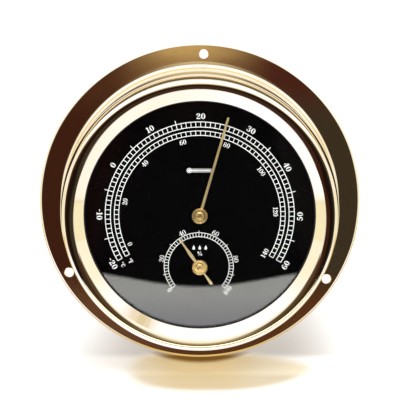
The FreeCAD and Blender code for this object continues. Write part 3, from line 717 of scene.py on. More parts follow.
@dataclass
class CaseShell:
    """The wall flange, the case's tube soldered to it, and the front ring pressed into that."""

    finishes: Finishes
    flange_r: float = 62.5
    flange_out: float = 3.0
    sheet: float = 0.8
    rim_rounding: float = 1.0
    wall_r: float = 53.0
    foot_rounding: float = 1.5
    shoulder_rounding: float = 0.3
    bore_r: float = 50.61
    hole_circle_r: float = 58.4
    hole_r: float = 1.7
    hole_flare: float = 0.25
    hole_count: int = 3
    hole_turn: float = 1.5
    spigot_r: float = 50.6
    spigot_inner_r: float = 49.0
    neck_r: float = 51.2
    neck_rounding: float = 0.3
    bead_r: float = 52.0
    bead_back_rounding: float = 0.7
    land_inner_r: float = 47.4
    land_drop: float = 0.64
    land_rounding: float = 0.15
    crown_width: float = 3.05
    crown_fullness: float = 0.94
    bead_depth: float = 4.1
    opening_r: float = 43.8
    lip_rounding: float = 0.12
    lip_thickness: float = 0.6
    steps: int = 288
    hole_steps: int = 48

    def _settle(self, piece: Object, node: str) -> Object:
        """Lets a piece ride on the case in place of a CAD node."""
        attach(piece, Body.CASE.value)
        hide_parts(node)
        return piece

    def _spin(self, outline: Outline, name: str, weighted: bool = True) -> Object:
        """Turns a polished piece of the case about its middle."""
        work = lathe(outline, self.steps)
        return finish_mesh(work, name, self.finishes["polished_brass"], weighted)

    def build_flange(self) -> Object:
        """Spins the wall flange with its short neck and drills its three screw holes."""
        face, back = self.flange_out, self.flange_out - self.sheet
        inner, neck_front = self.wall_r - self.sheet, out_of("wall_flange")
        blank = self._spin([
            (self.flange_r, 0.0), (self.flange_r, face, self.rim_rounding, 10),
            (self.wall_r, face, self.foot_rounding, 16), (self.wall_r, neck_front),
            (inner, neck_front), (inner, back, self.foot_rounding + self.sheet, 8),
            (self.flange_r - self.sheet, back, self.rim_rounding - self.sheet, 4),
            (self.flange_r - self.sheet, 0.0)], "flange_blank", False)
        drilled = cut_away(blank, [self._drill(i) for i in range(self.hole_count)])
        flange = finish_mesh(drilled, "spun_flange", self.finishes["polished_brass"])
        return self._settle(flange, "wall_flange")

    def _drill(self, index: int) -> Object:
        """The cutter of one wall screw hole, a little flared at the front."""
        across, up = on_clock(self.hole_circle_r, self.hole_turn + index * 360 / self.hole_count)
        flared = self.hole_r + self.hole_flare
        cutter = lathe([
            (0.0, -self.sheet), (self.hole_r, -self.sheet),
            (self.hole_r, self.flange_out - self.hole_flare), (flared, self.flange_out),
            (flared, self.flange_out + self.sheet), (0.0, self.flange_out + self.sheet)],
            self.hole_steps, Axis(across, up))
        return finish_mesh(cutter, f"drill_{index}", self.finishes["polished_brass"], False)

    def build_wall(self) -> Object:
        """Spins the case's tube with its shoulder turned in to the front ring's bore."""
        foot, shoulder = out_of("case_wall", False), out_of("case_wall")
        inner = self.wall_r - self.sheet
        wall = self._spin([
            (self.wall_r, foot), (self.wall_r, shoulder, self.shoulder_rounding, 8),
            (self.bore_r, shoulder), (self.bore_r, shoulder - self.sheet),
            (inner, shoulder - self.sheet), (inner, foot)], "case_tube")
        return self._settle(wall, "case_wall")

    def build_front_ring(self) -> Object:
        """Spins the front ring: spigot, neck, bead, funnel and lip."""
        front, spigot_back = out_of("bezel_ring"), out_of("bezel_ring", False)
        shoulder, lip_back = out_of("case_wall"), out_of("glass_gasket")
        bead_back = front - self.bead_depth
        crown_half = self.crown_width / 2
        crown_turn = math.atan2(self.land_drop, crown_half)
        crown_rounding = crown_half * self.crown_fullness / math.tan(crown_turn / 2)
        bead_rounding = self.bead_r - self.land_inner_r - self.crown_width
        ring = self._spin([
            (self.spigot_inner_r, spigot_back), (self.spigot_r, spigot_back),
            (self.spigot_r, shoulder), (self.neck_r, shoulder),
            (self.neck_r, bead_back, self.neck_rounding, 3),
            (self.bead_r, bead_back, self.bead_back_rounding, 6),
            (self.bead_r, front, bead_rounding, 20),
            (self.land_inner_r + crown_half, front, crown_rounding, 20),
            (self.land_inner_r, front - self.land_drop, self.land_rounding, 4),
            (self.opening_r, lip_back + self.lip_thickness, self.lip_rounding, 3),
            (self.opening_r, lip_back), (self.spigot_inner_r, lip_back)], "front_ring")
        return self._settle(ring, "bezel_ring")

    def build(self) -> list[Object]:
        """Builds the flange, the tube and the front ring."""
        return [self.build_flange(), self.build_wall(), self.build_front_ring()]


@dataclass(frozen=True)
class Stroke:
    """One stroke of a figure: places along it with the pen's width at each, in figure heights."""

    places: tuple[tuple[float, float, float], ...]
    smooth: bool = True


@dataclass(frozen=True)
class Ring:
    """An upright oval with an oval hole: centre, outer and inner half axes, in figure heights."""

    centre: Pair
    outer: Pair
    inner: Pair


@dataclass(frozen=True)
class Figure:
    """One printed figure, with its width and its strokes."""

    width: float
    strokes: tuple[Stroke, ...] = ()
    rings: tuple[Ring, ...] = ()


THICK, THIN = 0.19, 0.075


def curve(*places: tuple[float, float, float]) -> Stroke:
    """A stroke that bends smoothly through its places."""
    return Stroke(places)


def line(across: float, up: float, to_across: float, to_up: float, width: float = THIN) -> Stroke:
    """A straight stroke from one place to another."""
    return Stroke(((across, up, width), (to_across, to_up, width)), smooth=False)


FIGURES: dict[str, Figure] = {
    "0": Figure(0.62, rings=(Ring((0.31, 0.5), (0.3, 0.5), (0.12, 0.44)),)),
    "1": Figure(0.44, (line(0.23, 0.0, 0.23, 1.0, THICK), line(0.02, 0.035, 0.44, 0.035),
                       line(0.03, 0.86, 0.2, 0.95))),
    "2": Figure(0.6, (
        curve((0.12, 0.64, 0.12), (0.1, 0.76, 0.17), (0.15, 0.9, 0.1), (0.3, 0.96, THIN),
              (0.43, 0.86, 0.16), (0.45, 0.7, THICK), (0.36, 0.5, 0.14), (0.18, 0.28, THIN),
              (0.08, 0.08, THIN)),
        line(0.04, 0.075, 0.52, 0.075, 0.15), line(0.53, 0.0, 0.55, 0.28))),
    "3": Figure(0.58, (
        curve((0.13, 0.74, 0.1), (0.1, 0.84, 0.14), (0.17, 0.94, 0.08), (0.3, 0.96, THIN),
              (0.42, 0.86, 0.15), (0.42, 0.7, 0.16), (0.34, 0.57, THIN), (0.22, 0.52, THIN)),
        curve((0.22, 0.52, THIN), (0.38, 0.47, 0.1), (0.47, 0.3, THICK), (0.42, 0.1, 0.13),
              (0.28, 0.035, THIN), (0.14, 0.07, 0.08), (0.08, 0.18, 0.14), (0.11, 0.28, 0.1)))),
    "4": Figure(0.62, (line(0.43, 0.0, 0.43, 1.0, THICK), line(0.4, 0.97, 0.05, 0.3),
                       line(0.0, 0.3, 0.62, 0.3), line(0.27, 0.03, 0.6, 0.03))),
    "5": Figure(0.58, (
        line(0.13, 0.92, 0.5, 0.92, 0.15), line(0.145, 0.98, 0.12, 0.52),
        curve((0.12, 0.53, THIN), (0.26, 0.61, THIN), (0.41, 0.53, 0.14), (0.46, 0.33, THICK),
              (0.4, 0.12, 0.13), (0.27, 0.035, THIN), (0.14, 0.07, 0.08), (0.08, 0.17, 0.14),
              (0.11, 0.27, 0.1)))),
    "6": Figure(0.6, (
        curve((0.5, 0.86, 0.12), (0.44, 0.92, 0.13), (0.34, 0.965, THIN), (0.2, 0.85, 0.11),
              (0.115, 0.6, 0.17), (0.1, 0.31, THICK)),),
        (Ring((0.31, 0.31), (0.29, 0.31), (0.13, 0.255)),)),
    "8": Figure(0.6, rings=(Ring((0.3, 0.75), (0.25, 0.25), (0.12, 0.2)),
                            Ring((0.3, 0.28), (0.29, 0.28), (0.14, 0.225)))),
    "-": Figure(0.4, (line(0.05, 0.5, 0.33, 0.5, 0.12),)),
    "°": Figure(0.4, rings=(Ring((0.18, 0.82), (0.17, 0.17), (0.08, 0.08)),)),
    "C": Figure(0.64, (
        curve((0.56, 0.7, THIN), (0.5, 0.9, THIN), (0.32, 0.965, THIN), (0.14, 0.8, 0.14),
              (0.1, 0.5, THICK), (0.14, 0.2, 0.14), (0.32, 0.035, THIN), (0.5, 0.1, THIN),
              (0.58, 0.28, THIN)),
        line(0.56, 0.62, 0.56, 0.96))),
    "F": Figure(0.62, (line(0.2, 0.0, 0.2, 1.0, THICK), line(0.0, 0.03, 0.4, 0.03),
                       line(0.0, 0.965, 0.6, 0.965), line(0.57, 0.7, 0.57, 1.0),
                       line(0.2, 0.52, 0.46, 0.52), line(0.44, 0.38, 0.44, 0.66))),
    "%": Figure(1.1, (line(0.3, 0.0, 0.8, 1.0, 0.09),),
                (Ring((0.19, 0.76), (0.19, 0.24), (0.06, 0.1)),
                 Ring((0.91, 0.24), (0.19, 0.24), (0.06, 0.1)))),
    "drop": Figure(0.8, (
        curve((0.4, 1.0, 0.02), (0.4, 0.75, 0.22), (0.4, 0.5, 0.46), (0.4, 0.3, 0.6),
              (0.4, 0.14, 0.52), (0.4, 0.03, 0.3), (0.4, 0.0, 0.1)),)),
    "lying_thermometer": Figure(5.3, (
        line(0.85, 0.5, 4.9, 0.5, 0.16), line(1.05, 0.78, 5.05, 0.78, 0.1),
        line(1.05, 0.22, 5.05, 0.22, 0.1), line(5.1, 0.18, 5.1, 0.82, 0.1)),
        (Ring((0.6, 0.5), (0.52, 0.5), (0.4, 0.38)), Ring((0.6, 0.5), (0.27, 0.27), (0.06, 0.06)))),
}


class Pen:
    """Prints strokes, rings and bars on the dial as thin solids."""

    layers: int = 5
    layer_step: float = 0.08
    oval_segments: int = 28

    def __init__(self, face_out: float, thickness: float = 0.025) -> None:
        """Starts an empty sheet of print, on a face so far out and as thick as is given."""
        self.work = bmesh.new()
        self.face_out = face_out
        self.thickness = thickness
        self.layer = 0

    def _raise(self, part: BMesh, place: Matrix) -> None:
        """Thickens a flat part, puts it in its place and adds it to the sheet."""
        self.layer = (self.layer + 1) % self.layers
        thicken(part, self.thickness * (1 + self.layer_step * self.layer))
        bmesh.ops.transform(part, verts=part.verts[:], matrix=place)
        bmesh.ops.recalc_face_normals(part, faces=part.faces[:])
        add_part(self.work, part)

    def stroke(self, stroke: Stroke, size: float, place: Matrix, weight: float = 1.0) -> None:
        """Draws one stroke by dragging the pen's edge along it.

        Args:
            stroke: the stroke, in figure heights.
            size: the figure's height in millimetres.
            place: where the figure's lower left corner goes.
            weight: how thick the pen is, beside its usual width.
        """
        path = [Vector((across, up, width * weight)) * size
                for across, up, width in stroke.places]
        if stroke.smooth:
            path = smooth_path(path)
        rows = []
        for i, here in enumerate(path):
            ahead = path[min(i + 1, len(path) - 1)] - path[max(i - 1, 0)]
            side = Vector((-ahead.y, ahead.x)).normalized() * here.z / 2
            rows.append([spot(here.x + sign * side.x, 0.0, here.y + sign * side.y)
                         for sign in (1, -1)])
        self._raise(drag(rows), place)

    def ring(self, ring: Ring, size: float, place: Matrix, weight: float = 1.0) -> None:
        """Draws an oval with an oval hole.

        Args:
            ring: the oval, in figure heights.
            size: the figure's height in millimetres.
            place: where the figure's lower left corner goes.
            weight: how thick its wall is, beside its usual one.
        """
        part = bmesh.new()
        hole = tuple(full - (full - bare) * weight for full, bare in zip(ring.outer, ring.inner))
        across, up = ring.centre
        moved = Matrix.Translation(spot(across * size, 0.0, up * size))
        upright = Matrix.Rotation(math.pi / 2, 4, "X")
        for across, up in (ring.outer, hole):
            scaled = Matrix.Diagonal((across * size * MM, 1.0, up * size * MM, 1.0))
            bmesh.ops.create_circle(part, segments=self.oval_segments, radius=1.0,
                                    matrix=moved @ scaled @ upright)
        bmesh.ops.bridge_loops(part, edges=part.edges[:])
        self._raise(part, place)

    def bar(self, length: float, width: float, place: Matrix) -> None:
        """Draws a straight bar from the place upwards, lengths in millimetres."""
        self.stroke(line(0.0, 0.0, 0.0, length, width), 1.0, place)

    def arc(self, radius: float, width: float, sweep: float, axis: Axis, turn: float) -> None:
        """Draws an arc line over the top of an axis.

        Args:
            radius: the arc's middle radius in millimetres.
            width: the line's width.
            sweep: how far it reaches each way from the top, in degrees.
            axis: the axis that it bends round.
            turn: the clock angle of its middle.
        """
        part = bmesh.new()
        ends = [part.verts.new(spot(0.0, 0.0, radius + side * width / 2)) for side in (-1, 1)]
        edge = part.edges.new(ends)
        bmesh.ops.transform(part, verts=part.verts[:], matrix=clock_turn(turn - sweep))
        bmesh.ops.spin(part, geom=[*ends, edge], cent=(0, 0, 0), axis=LINE_OF_SIGHT,
                       angle=math.radians(2 * sweep), steps=round(sweep), use_merge=False)
        self._raise(part, Matrix.Translation(spot(axis.across, self.face_out, axis.up)))

    def at(self, axis: Axis, radius: float, angle: float, flipped: bool = False) -> Matrix:
        """The place at a radius and clock angle, with its up pointing outwards, or inwards."""
        across, up = on_clock(radius, angle)
        moved = Matrix.Translation(spot(axis.across + across, self.face_out, axis.up + up))
        return moved @ clock_turn(angle + (180.0 if flipped else 0.0))

    def label(self, figures: Sequence[str], size: float, place: Matrix, gap: float = 0.07,
              stretch: float = 1.0, weight: float = 1.0) -> None:
        """Prints figures side by side, centred on a place.

        Args:
            figures: the names of the figures.
            size: their height in millimetres.
            place: the label's centre.
            gap: the space between them, in figure heights.
            stretch: how much wider than usual the figures are.
            weight: how thick their lines are, beside the usual.
        """
        place = place @ Matrix.Diagonal((stretch, 1.0, 1.0, 1.0))
        shapes = [FIGURES[name] for name in figures]
        across = -(sum(shape.width for shape in shapes) + gap * (len(shapes) - 1)) / 2 * size
        for shape in shapes:
            corner = place @ Matrix.Translation(spot(across, 0.0, -size / 2))
            for stroke in shape.strokes:
                self.stroke(stroke, size, corner, weight)
            for ring in shape.rings:
                self.ring(ring, size, corner, weight)
            across += (shape.width + gap) * size

    def finish(self, name: str, material: Material) -> Object:
        """Makes the printed piece and lets it ride on the case."""
        piece = finish_mesh(self.work, name, material, False)
        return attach(piece, Body.CASE.value)


def smooth_path(places: Sequence[Vector], parts: int = 4) -> list[Vector]:
    """A smooth path through places, by the Catmull-Rom rule.

    Args:
        places: what the path passes through.
        parts: the number of steps between two places.

    Returns:
        The places along the path.
    """
    path = [places[0]]
    padded = [places[0], *places, places[-1]]
    for before, start, end, after in zip(padded, padded[1:], padded[2:], padded[3:]):
        for step in range(1, parts + 1):
            t = step / parts
            path.append(0.5 * (2 * start + (end - before) * t
                               + (2 * before - 5 * start + 4 * end - after) * t**2
                               + (3 * start - before - 3 * end + after) * t**3))
    return path


@dataclass(frozen=True)
class Band:
    """A scale of cells between two arcs, with its long ticks and its figures."""

    name: str
    outer_r: float
    inner_r: float
    sweep: float
    cells: int
    readings: Sequence[int]
    middle: float
    degrees: float
    figure_r: float
    figure_height: float
    long_readings: Sequence[int] = ()
    long_tick: float = 1.5
    line: float = 0.28
    tick: float = 0.26
    stretch: float = 1.08
    turn: float = 0.0
    weight: float = 1.0

    def angle_of(self, reading: float) -> float:
        """The clock angle of a reading."""
        return (reading - self.middle) * self.degrees + self.turn

    def build(self, axis: Axis, face_out: float, material: Material) -> Object:
        """Prints the band, its ticks and its figures.

        Args:
            axis: the axis that the band bends round.
            face_out: how far out the dial's face lies.
            material: the print's material.

        Returns:
            The printed piece.
        """
        pen = Pen(face_out)
        for radius in (self.outer_r, self.inner_r):
            pen.arc(radius, self.line, self.sweep, axis, self.turn)
        for i in range(self.cells + 1):
            angle = -self.sweep + i * 2 * self.sweep / self.cells + self.turn
            pen.bar(self.outer_r - self.inner_r, self.tick, pen.at(axis, self.inner_r, angle))
        for reading in self.long_readings:
            pen.bar(self.long_tick, self.tick, pen.at(axis, self.outer_r, self.angle_of(reading)))
        for reading in self.readings:
            angle = self.angle_of(reading)
            place = pen.at(axis, self.figure_r, angle, abs(angle - self.turn) >= 90)
            pen.label(list(str(reading)), self.figure_height, place, stretch=self.stretch,
                      weight=self.weight)
        return pen.finish(self.name, material)


@dataclass
class DialPrint:
    """What is printed on the dial: three scales, three marks and two plain pictures."""

    finishes: Finishes
    thermo: Axis
    hygro: Axis
    celsius: Band = Band(
        "celsius_scale", 35.9, 33.92, 120.0, 80, range(-20, 61, 10), 20.0, 3.0, 38.05, 2.15,
        range(-15, 56, 10), stretch=1.22, turn=0.6)
    fahrenheit: Band = Band(
        "fahrenheit_scale", 32.45, 30.74, 120.0, 72, range(0, 141, 20), 68.0, 5 / 3, 28.8, 1.8,
        line=0.26, tick=0.24, turn=0.6, weight=0.85)
    humidity: Band = Band(
        "humidity_scale", 13.2, 11.62, 130.0, 50, range(0, 101, 20), 50.0, 2.6, 14.45, 1.8,
        range(10, 91, 20), 0.8, line=0.21, tick=0.18, stretch=1.12, turn=0.3, weight=0.72)
    humidity_shift: Pair = (-0.38, 0.15)
    celsius_mark: Pair = (35.1, -123.1)
    fahrenheit_mark: Pair = (31.8, -123.9)
    mark_height: float = 1.6
    percent_up: float = 5.2
    thermometer_up: float = 17.3
    thermometer_height: float = 1.9
    drops_up: float = 7.6
    drops_height: float = 1.7
    drops_gap: float = 0.55

    def build(self) -> list[Object]:
        """Prints everything on the dial's face."""
        face, ink = out_of("dial_plate"), self.finishes["dial_print"]
        across, up = self.humidity_shift
        middle = Axis(self.hygro.across + across, self.hygro.up + up)
        pieces = [band.build(axis, face, ink) for band, axis in (
            (self.celsius, self.thermo), (self.fahrenheit, self.thermo), (self.humidity, middle))]
        pen = Pen(face)
        for (radius, angle), letter in ((self.celsius_mark, "C"), (self.fahrenheit_mark, "F")):
            pen.label(["°", letter], self.mark_height, pen.at(self.thermo, radius, angle, True))
        pen.label(["%"], self.mark_height, pen.at(self.hygro, self.percent_up, 0.0))
        pieces.append(pen.finish("unit_marks", ink))
        pen = Pen(face)
        pen.label(["lying_thermometer"], self.thermometer_height,
                  pen.at(self.thermo, self.thermometer_up, 0.0))
        pen.label(["drop"] * 3, self.drops_height, pen.at(self.hygro, self.drops_up, 0.0),
                  self.drops_gap)
        pieces.append(pen.finish("dial_pictures", ink))
        return pieces


@dataclass
class Hands:
    """The long straight hand, the short leaf-shaped hand and their two turned hubs.

    The blades are stations of (distance, half width), and the hubs' edges are rounded by a
    (radius, number of segments) each.
    """

    finishes: Finishes
    thermo: Axis
    hygro: Axis
    thermo_length: float = 39.2
    thermo_root: float = 1.0
    thermo_tip: float = 0.8
    tip_shape: tuple[Pair, ...] = ((1.0, 1.0), (0.4, 0.8), (0.1, 0.45), (0.0, 0.1))
    thermo_angle: float = 16.0
    hygro_angle: float = -34.9
    eye_r: float = 2.4
    eye_bore: float = 1.21
    eye_lap: float = 0.2
    eye_steps: int = 48
    edge: float = 0.05
    ridge: float = 0.1
    leaf: tuple[Pair, ...] = (
        (2.2, 0.5), (3.0, 0.475), (4.3, 0.56), (5.6, 0.65), (7.0, 0.58), (8.2, 0.45), (9.4, 0.36),
        (11.0, 0.32), (12.9, 0.3), (13.35, 0.27), (13.55, 0.15))
    tail: tuple[Pair, ...] = (
        (2.2, 0.3), (3.0, 0.3), (5.0, 0.4), (7.2, 0.55), (7.6, 0.57), (7.95, 0.46), (8.13, 0.28),
        (8.2, 0.08))
    hub_r: dict[str, float] = field(default_factory=lambda: {"thermo": 3.1, "hygro": 3.0})
    hub_bevel: Pair = (0.4, 0.26)
    rim_rise: float = 0.08
    collar_r: float = 1.4
    collar_bore: float = 0.82
    collar_height: float = 0.45
    collar_depth: float = 0.6
    tube_r: float = 1.2
    tube_drop: float = 0.6
    bore: float = 0.51
    hub_steps: int = 96
    rim_slope: float = 1.4
    hem: Pair = (0.04, 2)
    crease: Pair = (0.05, 3)
    dip: Pair = (0.06, 3)
    shoulder: Pair = (0.06, 4)
    crest: Pair = (0.08, 4)

    def _settle(self, piece: Object, body: Body, node: str) -> Object:
        """Lets a piece ride on its hand's body in place of a CAD node."""
        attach(piece, body.value)
        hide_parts(node)
        return piece

    def _blade(self, work: BMesh, stations: Sequence[Pair], sign: int,
               ridge: float, back: float, thickness: float) -> None:
        """Adds one blade, dragged along its stations of (distance, half width).

        Args:
            work: the hand that it is added to.
            stations: where the blade goes, from the eye outwards.
            sign: 1 for a blade that points up, -1 for a tail.
            ridge: how far its middle line is raised.
            back: how far out its back lies.
            thickness: its thickness at the edges.
        """
        part = drag([[spot(x * half, 0.0, sign * along) for x in (-1.0, 0.0, 1.0)]
                     for along, half in stations])
        bmesh.ops.recalc_face_normals(part, faces=part.faces[:])
        thicken(part, thickness)
        top = spot(0.0, thickness, 0.0).y
        for vert in part.verts:
            on_ridge = abs(vert.co.x) < HAIRBREADTH and abs(vert.co.y - top) < HAIRBREADTH
            vert.co.y += back * -MM - (ridge * MM if on_ridge else 0.0)
        add_part(work, part)

    def _mount(self, work: BMesh, name: str, body: Body, axis: Axis, angle: float,
               node: str) -> Object:
        """Gives a hand its round eye and puts it on its axis at its reading at rest.

        Args:
            work: the hand's blades.
            name: the piece's name.
            body: the body that it rides on.
            axis: what it turns about.
            angle: its clock angle at rest.
            node: the CAD node that it stands for.

        Returns:
            The finished hand.
        """
        back, front = out_of(node, False), out_of(node)
        add_part(work, lathe([(self.eye_bore, back), (self.eye_r, back), (self.eye_r, front),
                              (self.eye_bore, front)], self.eye_steps))
        moved = Matrix.Translation(spot(axis.across, 0.0, axis.up))
        bmesh.ops.transform(work, verts=work.verts[:], matrix=moved @ clock_turn(angle))
        return self._settle(finish_mesh(work, name, self.finishes["hand_brass"]), body, node)

    def build_thermo_hand(self) -> Object:
        """The long hand: a straight thin bar with softened edges."""
        back, front = out_of("thermo_hand", False), out_of("thermo_hand")
        work = bmesh.new()
        tip, root = self.thermo_tip / 2, self.thermo_root / 2
        end = self.thermo_length
        stations = [(self.eye_r - self.eye_lap, root), (end / 2, (root + tip) / 2),
                    *((end - tip * short, tip * share) for short, share in self.tip_shape)]
        self._blade(work, stations, 1, 0.0, back, front - back)
        middle = spot(0.0, (back + front) / 2, 0.0).y
        rims = [edge for edge in work.edges
                if edge.calc_face_angle(0.0) > 1.0
                and abs(edge.verts[0].co.y - edge.verts[1].co.y) < HAIRBREADTH
                and edge.verts[0].co.y < middle]
        bmesh.ops.bevel(work, geom=rims, offset=self.edge * MM, offset_type="OFFSET", segments=2,
                        profile=0.5, affect="EDGES", material=-1)
        return self._mount(work, "long_hand", Body.THERMO, self.thermo, self.thermo_angle,
                           "thermo_hand")

    def build_hygro_hand(self) -> Object:
        """The short hand: a leaf with a raised middle line, and a tail that widens."""
        back, front = out_of("hygro_hand", False), out_of("hygro_hand")
        work = bmesh.new()
        for stations, sign in ((self.leaf, 1), (self.tail, -1)):
            self._blade(work, stations, sign, self.ridge, back, front - back - self.ridge)
        return self._mount(work, "leaf_hand", Body.HYGRO, self.hygro, self.hygro_angle,
                           "hygro_hand")

    def build_hub(self, name: str, axis: Axis, body: Body) -> Object:
        """A turned hub: broad disc with a bevelled edge and a raised collar round a bore."""
        node = f"{name}_hand_hub"
        rear, collar = out_of(node, False), out_of(node)
        disc, radius = collar - self.collar_height, self.hub_r[name]
        hand, floor = rear + self.tube_drop, collar - self.collar_depth
        wide, deep = self.hub_bevel
        rim, face = disc + self.rim_rise, disc - deep / 2
        work = lathe([
            (self.bore, rear), (self.tube_r, rear), (self.tube_r, hand),
            (radius, hand, *self.hem), (radius, disc - deep, *self.shoulder),
            (radius - wide / 2, rim, *self.crest), (radius - wide, rim, *self.crease),
            (radius - self.rim_slope * wide, face, *self.dip),
            (self.collar_r, face, *self.crease),
            (self.collar_r, collar - deep / 2, *self.crest),
            (self.collar_r - deep, collar, *self.shoulder),
            (self.collar_bore, collar, *self.shoulder),
            (self.collar_bore, floor), (self.bore, floor)], self.hub_steps, axis)
        return self._settle(finish_mesh(work, f"{name}_hub", self.finishes["hub_brass"]), body,
                            node)

    def build(self) -> list[Object]:
        """Builds both hands and both hubs."""
        return [self.build_thermo_hand(), self.build_hygro_hand(),
                self.build_hub("thermo", self.thermo, Body.THERMO),
                self.build_hub("hygro", self.hygro, Body.HYGRO)]


@dataclass(frozen=True)
class Ground:
    """The floor's colour with painted light: a gold pool where the brass throws its light, grey shadow beside it
    and a dark contact shadow along the foot.

    Colours, and places and ranges of the floor in metres from the middle of the wall.
    """

    pale: Colour = (0.86, 0.86, 0.86)
    # the shade colour is the painted grey shadow beside the instrument
    shade: Colour = (0.52, 0.495, 0.465)
    # the warm colours paint the pool of gold light that the brass throws on the floor
    warm: Colour = (0.78, 0.64, 0.38)
    deep_warm: Colour = (0.74, 0.6, 0.34)
    side_warm: Colour = (0.74, 0.67, 0.52)
    outer_warm: Colour = (0.525, 0.42, 0.255)
    outer_side: Colour = (0.54, 0.47, 0.34)
    # the contact colour paints the dark shadow along the flange's foot
    contact: Colour = (0.22, 0.12, 0.022)
    lean: Pair = (-0.2, 0.012)
    half_width: float = 0.0355
    middle_ahead: float = 0.01
    half_depth: float = 0.039
    roundness: float = 2.5
    rim: Pair = (0.86, 1.14)
    shade_middle: float = 0.006
    shade_aside: Pair = (0.026, 0.066)
    shade_ahead: Pair = (-0.004, 0.008)
    shade_far: Pair = (-0.13, -0.06)
    patches: Pair = (0.4, 0.62)
    patch_scale: float = 42.0
    gold_aside: Pair = (0.006, 0.026)
    gold_ahead: Pair = (0.0235, 0.032)
    contact_bow: float = 36.0
    contact_ahead: Pair = (0.0065, 0.0135)
    back_bow: float = -11.0
    back_ahead: Pair = (-0.014, 0.002)

    def colour(self, graph: Graph, across: Value, ahead: Value) -> NodeSocket:
        """The colour at a place of the floor, with its painted pool of light and painted shadows."""
        slope, start = self.lean
        wide = abs((across - (ahead * slope + start)) / self.half_width) ** self.roundness
        deep = abs((ahead - self.middle_ahead) / self.half_depth) ** self.roundness
        away = (wide + deep) ** (1 / self.roundness)
        # painted shadow: grey beside and behind the instrument, fading away from it
        painted_shadow_mask = (abs(across - self.shade_middle).fall(*self.shade_aside)
                  * ahead.fall(*self.shade_ahead) * ahead.rise(*self.shade_far))
        ground = graph.mix(painted_shadow_mask, self.pale, self.shade)
        # painted pool of gold light from the brass, paler aside and further ahead
        patches = graph.noise(self.patch_scale).rise(*self.patches)
        aside = abs(across).rise(*self.gold_aside)
        inner = graph.mix(aside, graph.mix(patches, self.warm, self.deep_warm), self.side_warm)
        outer = graph.mix(aside, self.outer_warm, self.outer_side)
        gold = graph.mix(ahead.rise(*self.gold_ahead), inner, outer)
        bow = across * across
        # painted contact shadow, dark along the flange's foot
        contact_shadow_mask = (bow * self.contact_bow + ahead).fall(*self.contact_ahead)
        gold = graph.mix(contact_shadow_mask, gold, self.contact)
        # the painted pool keeps to its rounded outline in front of the foot
        lit = away.fall(*self.rim) * (bow * self.back_bow + ahead).rise(*self.back_ahead)
        return graph.mix(lit, ground, gold)


